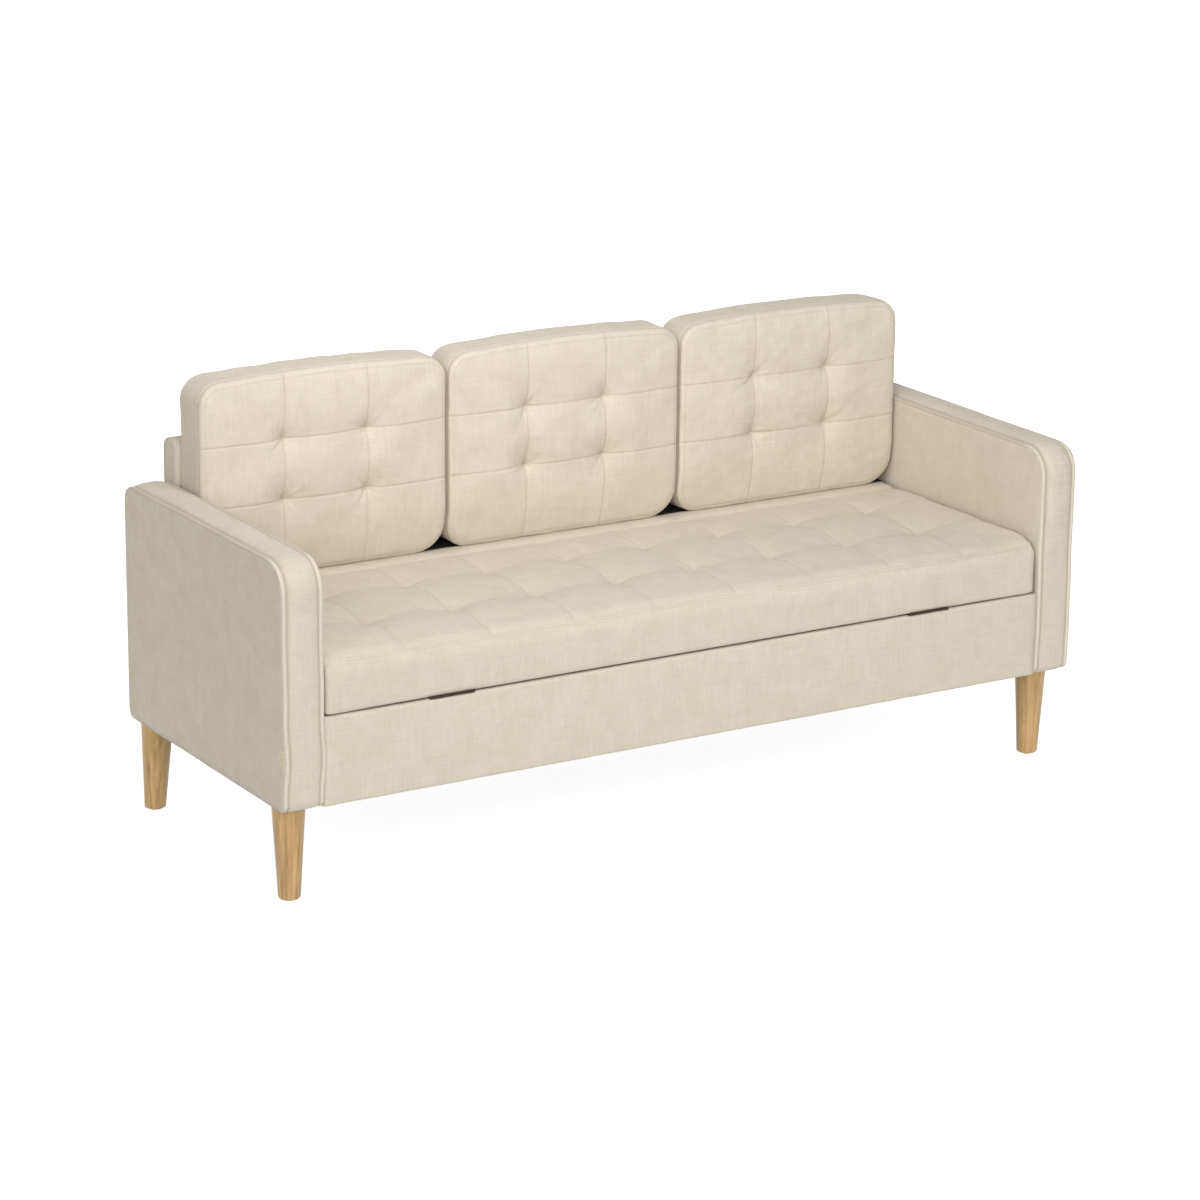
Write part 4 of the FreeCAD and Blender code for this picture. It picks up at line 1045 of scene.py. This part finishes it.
def puckers(plane_points, tufts, seed, height, rays=9):
    """Creases that fan out from each tuft."""
    rng = np.random.default_rng(seed)
    total = np.zeros(len(plane_points))
    for tuft in tufts:
        offset = plane_points - np.array(tuft)
        away = np.hypot(offset[:, 0], offset[:, 1])
        near = away < 0.12
        angle = np.arctan2(offset[near, 1], offset[near, 0])
        distance = away[near]
        creases = np.zeros(near.sum())
        for _ in range(rays):
            direction = rng.uniform(-math.pi, math.pi)
            width = rng.uniform(0.10, 0.24)
            length = rng.uniform(0.014, 0.034)
            turn = np.angle(np.exp(1j * (angle - direction)))
            creases += rng.choice((-1.0, 0.8)) * np.exp(-(turn / width) ** 2) * np.exp(-distance / length)
        total[near] += height * creases * (1 - np.exp(-(distance / 0.006) ** 2))
    return total


# %% [markdown]
# ## Back cushions
# Each loose cushion is a boxed pillow: a front panel quilted into nine fields with four deep tufts, a band
# round the side and a plain rear panel. It stands on the black shelf and leans flat against the back. The
# seams are cut into the grid after the simulation, because they are finer than a remeshed quad.

# %% Back cushion shape
CUSHION_GRID = 0.005
CUSHION_SPREAD = 1.0042
CUSHION_CORNER = 0.038
CUSHION_FOOT_CORNER = 0.054
CUSHION_RIM = 0.013
CUSHION_REAR_RIM = 0.012
CUSHION_TOP_DOME = 0.010
CUSHION_TOP_RISE = 0.002
CUSHION_FOOT_INSET = 0.021
CUSHION_FOOT_HEIGHT = 0.10
CUSHION_STITCH = 0.010
CUSHION_FRONT_SEAM = 0.158
CUSHION_REAR = 0.2506
CUSHION_SWELL = 0.024
CUSHION_PRESSURE = 4.0
CUSHION_FULLNESS = 0.006
CUSHION_TUFT_DEPTH = 0.0065
CUSHION_TUFT_REACH = 0.032
CUSHION_PUCKER = 0.0026
TUFT_COLUMNS = (-0.084, 0.084)
TUFT_ROWS = (0.586, 0.698)
CUSHION_TUFTS = [(x, z) for x in TUFT_COLUMNS for z in TUFT_ROWS]
BUTTON_DEPTH = 0.010
BUTTON_REACH = 0.010
QUILT_CUT = 0.0016
QUILT_DEPTH = 0.0009
QUILT_VALLEY = 0.016
STITCH_WIDTH = 0.0018
CLOTH_GAP = 0.0012
BACK_TOP = 0.695
SEAT_SWING = ((0.440, 0.1785), (0.448, 0.1785), (0.456, 0.172), (0.474, 0.163), (0.4985, 0.1435),
              (0.522, 0.125))


def cushion_room(node):
    """The cushion's CAD box, drawn out sideways so that the row fills the space between the arms."""
    low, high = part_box(node)
    return Vector((low.x * CUSHION_SPREAD, low.y, low.z)), Vector((high.x * CUSHION_SPREAD, high.y, high.z))


def foot_inset(co, low):
    """How far the cushion's front curves back near its foot."""
    return CUSHION_FOOT_INSET * np.clip(1 - (co[:, 2] - low.z) / CUSHION_FOOT_HEIGHT, 0, 1) ** 2


def from_outline(co, centre, low, high):
    """How far inside the cushion's outline each point lies, seen from the front."""
    x = (co[:, 0] - centre) / (high.x - low.x) * 2
    top = high.z - CUSHION_TOP_DOME * x**2
    centre_z = (low.z + top) / 2
    corner = np.where(co[:, 2] > centre_z, CUSHION_CORNER, CUSHION_FOOT_CORNER)
    over_side = np.abs(co[:, 0] - centre) - (high.x - low.x) / 2 + corner
    over_end = np.abs(co[:, 2] - centre_z) - (top - low.z) / 2 + corner
    beyond = np.hypot(np.maximum(over_side, 0), np.maximum(over_end, 0))
    return corner - beyond - np.minimum(np.maximum(over_side, over_end), 0)


def cushion_start(name, centre, low, high):
    """The slack cushion: a box with round corners, a domed top and a curved lower front."""
    half = (high.x - low.x) / 2 - 0.0006
    bm = box_mesh((centre - half, CUSHION_FRONT_SEAM, low.z), (centre + half, CUSHION_REAR, high.z))
    for z, radius in ((high.z, CUSHION_CORNER), (low.z, CUSHION_FOOT_CORNER)):
        round_edges(bm, lambda e: edge_along(e, "y") and lies_at(e, "z", z), radius, 8)
    for y, radius, segments in ((CUSHION_FRONT_SEAM, CUSHION_RIM, 4), (CUSHION_REAR, CUSHION_REAR_RIM, 3)):
        round_edges(bm, lambda e: lies_at(e, "y", y), radius, segments)
    piece = piece_from(bm, name)
    even_grid(piece, CUSHION_GRID)
    co = points(piece)
    x = (co[:, 0] - centre) / half
    height = (co[:, 2] - low.z) / (high.z - low.z)
    co[:, 2] += (CUSHION_TOP_RISE - CUSHION_TOP_DOME * x**2) * fade(height, 0.5, 1.0)
    behind = (co[:, 1] - CUSHION_FRONT_SEAM) / (CUSHION_REAR - CUSHION_FRONT_SEAM)
    co[:, 1] += foot_inset(co, low) * (1 - fade(behind, 0.0, 0.7))
    move_to(piece, co)
    return piece


def cushion_hold(piece, centre, low):
    """Where the cushion's cloth is held: tufts, outline seam, foot and the part that leans."""
    co = points(piece)
    front = normals(piece)[:, 1] < -0.3
    flat = np.stack([co[:, 0] - centre, co[:, 2]], 1)
    hold = np.where(front & (pulled(flat, CUSHION_TUFTS, 0.006) > 0.40), 1.0, 0.0)
    rim = np.abs(co[:, 1] - foot_inset(co, low) - CUSHION_FRONT_SEAM - CUSHION_RIM / 2) < CUSHION_RIM
    for where, strength in ((~front, 0.35), (rim & ~front, 0.9), (co[:, 1] > CUSHION_REAR - 0.003, 0.5),
                            (co[:, 2] < low.z + 0.004, 0.8)):
        hold = np.where(where, np.maximum(hold, strength), hold)
    return hold


def stuff_cushion(piece, centre, low, high):
    """Swells the cushion, most in its middle, and evens out its front and its top."""
    co = points(piece)
    edge = from_outline(co, centre, low, high)
    front = fade(-normals(piece)[:, 1], 0.3, 0.6)
    above_foot = fade(co[:, 2] - low.z, 0.0, 0.11)
    kept = front * (0.48 + 0.37 * fade(edge, 0.06, 0.16)) * (0.15 + 0.85 * above_foot)
    kept += 0.6 * (1 - front)
    inflate(piece, cushion_hold(piece, centre, low), CUSHION_PRESSURE, CUSHION_SWELL, kept)
    soften(piece, front * fade(edge, 0.008, 0.03), 26)
    soften(piece, fade(points(piece)[:, 2], high.z - 0.045, high.z - 0.015), 14)
    subdivide_once(piece)


def back_cushion(side, seed):
    node = side + "_back_cushion"
    low, high = cushion_room(node)
    centre = (low.x + high.x) / 2
    piece = cushion_start(node + "_sewn", centre, low, high)
    stuff_cushion(piece, centre, low, high)

    def quilting(bm):
        """The sewn lines of the front, which are finer than the grid."""
        for axis, lines in (("x", [centre + column for column in TUFT_COLUMNS]), ("z", TUFT_ROWS)):
            for line in lines:
                cut_seam(bm, axis, line, QUILT_CUT, lambda face: face.normal.y < -0.25)

    cut_into(piece, quilting)
    co = points(piece)
    facing = normals(piece)
    flat = np.stack([co[:, 0] - centre, co[:, 2]], 1)
    x, z = flat.T
    front = fade(-facing[:, 1], 0.25, 0.6)
    to_line = np.minimum.reduce([*(np.abs(x - line) for line in TUFT_COLUMNS),
                                 *(np.abs(z - line) for line in TUFT_ROWS)])
    pull = pulled(flat, CUSHION_TUFTS, CUSHION_TUFT_REACH)
    between = fade(0.155 - np.abs(x), 0.0, 0.05) * fade(0.115 - np.abs(z - 0.653), 0.0, 0.04)
    groove = bell(to_line, QUILT_CUT)
    valley = bell(to_line, QUILT_VALLEY) * (0.35 + between)
    depth = CUSHION_TUFT_DEPTH * pull**1.2 + BUTTON_DEPTH * pulled(flat, CUSHION_TUFTS, BUTTON_REACH)
    full = bell(z - 0.642, 0.060) * fade(0.19 - np.abs(x), 0.0, 0.10)
    crease = puckers(flat, CUSHION_TUFTS, seed, CUSHION_PUCKER)
    uneven = 0.0010 * ripples(co, 0.09, seed) + 0.0004 * ripples(co, 0.035, seed + 1)
    stitch = bell(from_outline(co, centre, low, high) - CUSHION_STITCH, STITCH_WIDTH)
    depth += QUILT_DEPTH * (valley + stitch) + 0.0010 * groove
    co[:, 1] += front * (depth - crease - uneven)
    co[:, 1] -= front * CUSHION_FULLNESS * full * (1 - pull)
    rim_depth = co[:, 1] - foot_inset(co, low) - (CUSHION_FRONT_SEAM + CUSHION_RIM)
    rim = bell(rim_depth, 0.0026) * (1 - front)
    co -= facing * (0.0014 * rim)[:, None]
    band = (1 - front) * fade(co[:, 1], 0.175, 0.19)
    co += facing * (band * 0.0012 * ripples(co, 0.07, seed + 2))[:, None]
    half = (high.x - low.x) / 2
    co[:, 0] = np.clip(co[:, 0], centre - half, centre + half)
    rear_limit = CUSHION_REAR + 0.022 * fade(co[:, 2], BACK_TOP, high.z - 0.03)
    co[:, 1] = np.clip(co[:, 1], np.interp(co[:, 2], *zip(*SEAT_SWING), right=0.0), rear_limit)
    co[:, 2] = np.clip(co[:, 2], low.z, high.z + 0.003)
    move_to(piece, co)
    keep_clear(piece, CLOTH_GAP, side + "_cushion_core")
    # painted shade in the quilting lines, the outline stitch, the tuft dimples and the rim seam
    shade = front * (0.30 * groove + 0.24 * stitch + 0.10 * pull**3) + 0.30 * rim
    dress_in_linen(piece, side + "_cushion", node, shade, (0.9 * seed, 0.3 * seed))


for side, seed in (("left", 41), ("middle", 52), ("right", 63)):
    back_cushion(side, seed)

# %% [markdown]
# ## Seat
# The seat is one long stuffed lid. Its quilt has two rows of eight tufts, joined by seams into a grid, and
# a twin-stitched seam just behind the front edge. Like the cushions it is inflated with the tufts held,
# and its underside is then opened, so that the lid's frame and black lining lie inside it.

# %% Seat shape
SEAT_GRID = 0.007
SEAT_FRONT = -0.3068
SEAT_EDGE = 0.4435
SEAT_INSET = 0.001
SEAT_TUFT_PITCH = 0.1685
SEAT_TUFT_ROWS = (-0.148, 0.023)
SEAT_SWELL = 0.017
SEAT_PRESSURE = 3.5
SEAT_TUFT_DEPTH = 0.010
SEAT_TUFT_REACH = 0.040
SEAT_PUCKER = 0.0028
SEAT_SAG = 0.0010
SEAT_FRONT_WAVE = 0.0012
FRONT_SEAM = -0.294
TWIN_GAP = 0.0040
TWIN_CUT = 0.0008
TWIN_DEPTH = 0.0006
TWIN_WIDTH = 0.0006
PAD_PLACE = 0.505

seat_low, seat_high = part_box("seat_cover")
seat_columns = [(k - 3.5) * SEAT_TUFT_PITCH for k in range(8)]
seat_tufts = [(x, y) for x in seat_columns for y in SEAT_TUFT_ROWS]


def seat_start():
    """The slack seat: a box with a big round along its front, a small one behind and at its ends."""
    low = Vector((seat_low.x + SEAT_INSET, SEAT_FRONT, seat_low.z))
    high = Vector((seat_high.x - SEAT_INSET, seat_high.y - SEAT_INSET, SEAT_EDGE))
    bm = box_mesh(low, high)
    round_edges(bm, lambda e: edge_along(e, "x") and lies_at(e, "z", high.z) and middle(e).y < 0, 0.040, 7)
    round_edges(bm, lambda e: edge_along(e, "x") and lies_at(e, "z", high.z) and lies_at(e, "y", high.y),
                0.014, 4)
    round_edges(bm, lambda e: abs(abs(middle(e).x) - high.x) < 1e-5 and middle(e).z > 0.36
                and not edge_along(e, "z"), 0.012, 4)
    piece = piece_from(bm, "seat_cover_sewn")
    even_grid(piece, SEAT_GRID)
    co = points(piece)
    co[:, 2] -= 0.0045 * fade(co[:, 1], 0.08, 0.14) * fade(co[:, 2], 0.40, SEAT_EDGE)
    move_to(piece, co)
    return piece


def seat_hold(piece):
    """The seat's cloth is held at the tufts, round the foot and behind."""
    co = points(piece)
    top = normals(piece)[:, 2] > 0.5
    hold = np.where(top & (pulled(co[:, :2], seat_tufts, 0.008) > 0.40), 1.0, 0.0)
    for where, strength in ((co[:, 2] < seat_low.z + 0.010, 1.0), (~top, 0.5),
                            (np.abs(co[:, 1] - FRONT_SEAM) < SEAT_GRID, 0.7),
                            (co[:, 1] > seat_high.y - 0.016, 0.8)):
        hold = np.where(where, np.maximum(hold, strength), hold)
    return hold


def stuff_seat(piece):
    """Swells the seat between its tufts."""
    inflate(piece, seat_hold(piece), SEAT_PRESSURE, SEAT_SWELL)
    soften(piece, fade(normals(piece)[:, 2], 0.6, 0.9), 5)
    subdivide_once(piece)


def seat_cuts(bm):
    """The quilting lines, the twin seam and the open underside."""
    for axis, lines in (("x", seat_columns), ("y", SEAT_TUFT_ROWS)):
        for line in lines:
            cut_seam(bm, axis, line, QUILT_CUT, lambda face: face.normal.z > 0.3)
    for line in (FRONT_SEAM - TWIN_GAP, FRONT_SEAM):
        cut_seam(bm, "y", line, TWIN_CUT, lambda face: face.normal.z > 0.1)
    side = seat_high.x - 0.005
    open_underside(bm, (-side, seat_low.y + 0.012, 0), (side, seat_high.y - 0.009, 1), 0.9)


def seat_cover():
    piece = seat_start()
    stuff_seat(piece)
    cut_into(piece, seat_cuts)
    co = points(piece)
    facing = normals(piece)
    top = fade(facing[:, 2], 0.35, 0.75)
    flat = co[:, :2]
    x, y = flat.T
    between = (y > SEAT_TUFT_ROWS[0] - 0.17) & (y < 0.14)
    to_line = np.minimum.reduce([*(np.abs(x - line) for line in seat_columns),
                                 *(np.abs(y - line) for line in SEAT_TUFT_ROWS)])
    pull = pulled(flat, seat_tufts, SEAT_TUFT_REACH)
    groove = bell(to_line, 0.0020) * (y > FRONT_SEAM + 0.002)
    valley = bell(to_line, 0.015)
    crease = puckers(flat, seat_tufts, 77, SEAT_PUCKER)
    uneven = 0.0010 * ripples(co, 0.10, 71) + 0.0005 * ripples(co, 0.04, 72)
    twin = np.maximum(bell(y - FRONT_SEAM, TWIN_WIDTH), bell(y - FRONT_SEAM + TWIN_GAP, TWIN_WIDTH))
    twin *= fade(facing[:, 2], 0.1, 0.3)
    depth = SEAT_TUFT_DEPTH * pull**1.2 + between * (0.0010 * valley + QUILT_DEPTH * groove)
    co[:, 2] -= top * (depth - crease - uneven)
    co[:, 2] -= TWIN_DEPTH * twin
    front = fade(-facing[:, 1], 0.5, 0.9)
    co[:, 1] -= front * SEAT_FRONT_WAVE * ripples(co, 0.12, 73)
    co[:, 0] = np.clip(co[:, 0], seat_low.x, seat_high.x)
    co[:, 1] = np.clip(co[:, 1], seat_low.y, seat_high.y)
    co[:, 2] = np.maximum(co[:, 2], seat_low.z)
    over_pad = fade(0.070 - np.abs(np.abs(co[:, 0]) - PAD_PLACE), 0.0, 0.015)
    sag = SEAT_SAG * (1 + fade(np.abs(co[:, 0]), 0.62, 0.74)) * (1 - over_pad)
    co[:, 2] -= sag * at_hem(co, seat_low.z)
    move_to(piece, co)
    keep_clear(piece, CLOTH_GAP, "seat_foam", "lid_frame", "lid_board")
    # painted shade in the quilting lines, the tuft dimples and the twin seam
    shade = top * (0.22 * groove * between + 0.10 * pull**3) + 0.22 * twin
    dress_in_linen(piece, "seat_lid", "seat_cover", shade, (0.5, 3.1))


seat_cover()

# %% [markdown]
# Behind the seat black cloth covers the ledge on which the cushions stand, and a loose flap of the cream
# linen bridges the hinge slot. The flap is one sheet: its front edge is sewn to the seat, its rear edge is
# stapled to the ledge, and it sags a little in between.

# %% Ledge cover and hinge flap
FLAP_FRONT = 0.139
FLAP_REAR = 0.1915
FLAP_LEVEL = 0.4345
FLAP_CLIMB = 0.0062
FLAP_SAG = 0.0010
FLAP_THICKNESS = 0.0012
FLAP_SHORTER = 0.006
LEDGE_CLOTH = 0.0022

ledge_low, ledge_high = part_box("shelf_lining")


def ledge_cover():
    plate_foot = ledge_high.z - LEDGE_CLOTH
    lip = ledge_low.y + LEDGE_CLOTH
    bm = box_mesh((ledge_low.x, ledge_low.y, plate_foot), ledge_high)
    slice_at(bm, "y", [lip, *steps(lip, ledge_high.y, 0.01)])
    slice_at(bm, "x", steps(ledge_low.x, ledge_high.x, 0.02))
    front = [f for f in bm.faces if f.normal.z < -0.9 and f.calc_center_median().y < lip]
    made = bmesh.ops.extrude_face_region(bm, geom=front)["geom"]
    apron = [g for g in made if isinstance(g, bmesh.types.BMVert)]
    bmesh.ops.translate(bm, verts=apron, vec=(0, 0, ledge_low.z - plate_foot))
    piece = piece_from(bm, "ledge_cover_sewn")
    dress(piece, "body", black_nonwoven, "black_lining", "shelf_lining")


def hinge_flap():
    bm = bmesh.new()
    bmesh.ops.create_grid(bm, x_segments=150, y_segments=10, size=0.5)
    width = seat_high.x - seat_low.x - FLAP_SHORTER
    bmesh.ops.scale(bm, vec=(width, FLAP_REAR - FLAP_FRONT, 1), verts=bm.verts)
    bmesh.ops.translate(bm, vec=(0, (FLAP_REAR + FLAP_FRONT) / 2, FLAP_LEVEL), verts=bm.verts)
    piece = piece_from(bm, "hinge_flap")
    co = points(piece)
    share = (co[:, 1] - FLAP_FRONT) / (FLAP_REAR - FLAP_FRONT)
    co[:, 2] += FLAP_CLIMB * fade(co[:, 1], FLAP_FRONT, 0.165)
    co[:, 2] -= FLAP_SAG * np.sin(np.pi * share) * (1 + 0.5 * ripples(co, 0.16, 91))
    move_to(piece, co)
    line = co[np.abs(co[:, 0] - co[0, 0]) < 1e-6]
    line = line[np.argsort(line[:, 1])]
    thicken(piece, FLAP_THICKNESS, 1.0)
    freeze(piece)
    lay_threads(piece, (0.3, 0.8))
    seam_shade(piece, np.zeros(len(piece.data.vertices)))
    finish_cloth(piece, cream_linen)
    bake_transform(piece)


ledge_cover()
hinge_flap()

# %% [markdown]
# Black nonwoven cloth closes what isn't meant to be seen: the underside of the body and of both arms, the
# back behind the cushions' feet, and the lid from below. Each sheet is stapled flat round its edge and sags
# a little in between. The sheets under the arms are cut out round the leg plates.

# %% Black linings
LINING_CLOTH = 0.0006
LINING_EDGE = 0.04
LINING_PITCH = 0.015
LINING_SAG = {"left": 0.0006, "middle": 0.003, "right": 0.0006}
ARM_START = 0.7551
PLATE_ROOM = 0.0002


def node_points(node):
    """The corners of a CAD node, in metres."""
    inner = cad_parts[node]
    return np.array([inner.matrix_world @ v.co for v in inner.data.vertices])


def lining_sheet(name, body, node, low, high, across, sag, seed, holes=()):
    """A stapled sheet between two corners. across is the axis it faces along, and holes are squares."""
    low, high = Vector(low), Vector(high)
    bm = bmesh.new()
    bmesh.ops.create_grid(bm, x_segments=1, y_segments=1, size=0.5)
    if across == "y":
        bmesh.ops.rotate(bm, matrix=Matrix.Rotation(math.pi / 2, 3, "X"), verts=bm.verts)
    size = high - low
    size[AXES[across]] = 1.0
    bmesh.ops.scale(bm, vec=size, verts=bm.verts)
    bmesh.ops.translate(bm, vec=(low + high) / 2, verts=bm.verts)
    plane = [axis for axis in "xyz" if axis != across]
    for axis in plane:
        number = AXES[axis]
        slice_at(bm, axis, steps(low[number], high[number], LINING_PITCH))
        slice_at(bm, axis, [edge[number] for hole in holes for edge in hole])
    cut = [f for f in bm.faces for a, b in holes
           if a[0] < f.calc_center_median().x < b[0] and a[1] < f.calc_center_median().y < b[1]]
    bmesh.ops.delete(bm, geom=cut, context="FACES")
    piece = piece_from(bm, name)
    co = points(piece)
    rows = [(co[:, AXES[axis]], low[AXES[axis]], high[AXES[axis]]) for axis in plane]
    from_edge = np.minimum.reduce([np.minimum(place - start, end - place) for place, start, end in rows])
    co[:, AXES[across]] -= fade(from_edge, 0.0, LINING_EDGE) * sag * (1 + 0.6 * ripples(co, 0.12, seed))
    move_to(piece, co)
    thicken(piece, LINING_CLOTH, 0.0)
    freeze(piece)
    dress(piece, body, black_nonwoven, "black_lining", node)


def under_cloth():
    """The dust cover: one sheet under the body and one under each arm."""
    corners = node_points("dust_cover")
    plates = node_points("leg_plates")
    level = corners[:, 2].mean()
    parts = (("left", corners[:, 0] < -ARM_START), ("middle", np.abs(corners[:, 0]) < ARM_START),
             ("right", corners[:, 0] > ARM_START))
    for seed, (place, chosen) in enumerate(parts, 31):
        found = corners[chosen]
        low, high = found.min(0), found.max(0)
        low[2] = high[2] = level
        holes = []
        for row in (plates[:, 1] < 0, plates[:, 1] > 0):
            plate = plates[row & (plates[:, 0] > low[0]) & (plates[:, 0] < high[0])]
            if len(plate) and place != "middle":
                holes.append((plate.min(0) - PLATE_ROOM, plate.max(0) + PLATE_ROOM))
        lining_sheet(place + "_dust_cloth", "body", "dust_cover", low, high, "z",
                     LINING_SAG[place], seed, holes)


def inner_cloths():
    for node, body, carrier, across, sag, seed in (("back_lining", "body", "back_frame", "y", 0.0002, 35),
                                                   ("lid_lining", "seat_lid", "lid_frame", "z", 0.0010, 36)):
        low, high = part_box(node)
        number = AXES[across]
        low[number] = high[number] = (low[number] + high[number]) / 2
        lining_sheet(node + "_cloth", body, node, low, high, across, sag, seed)


under_cloth()
inner_cloths()
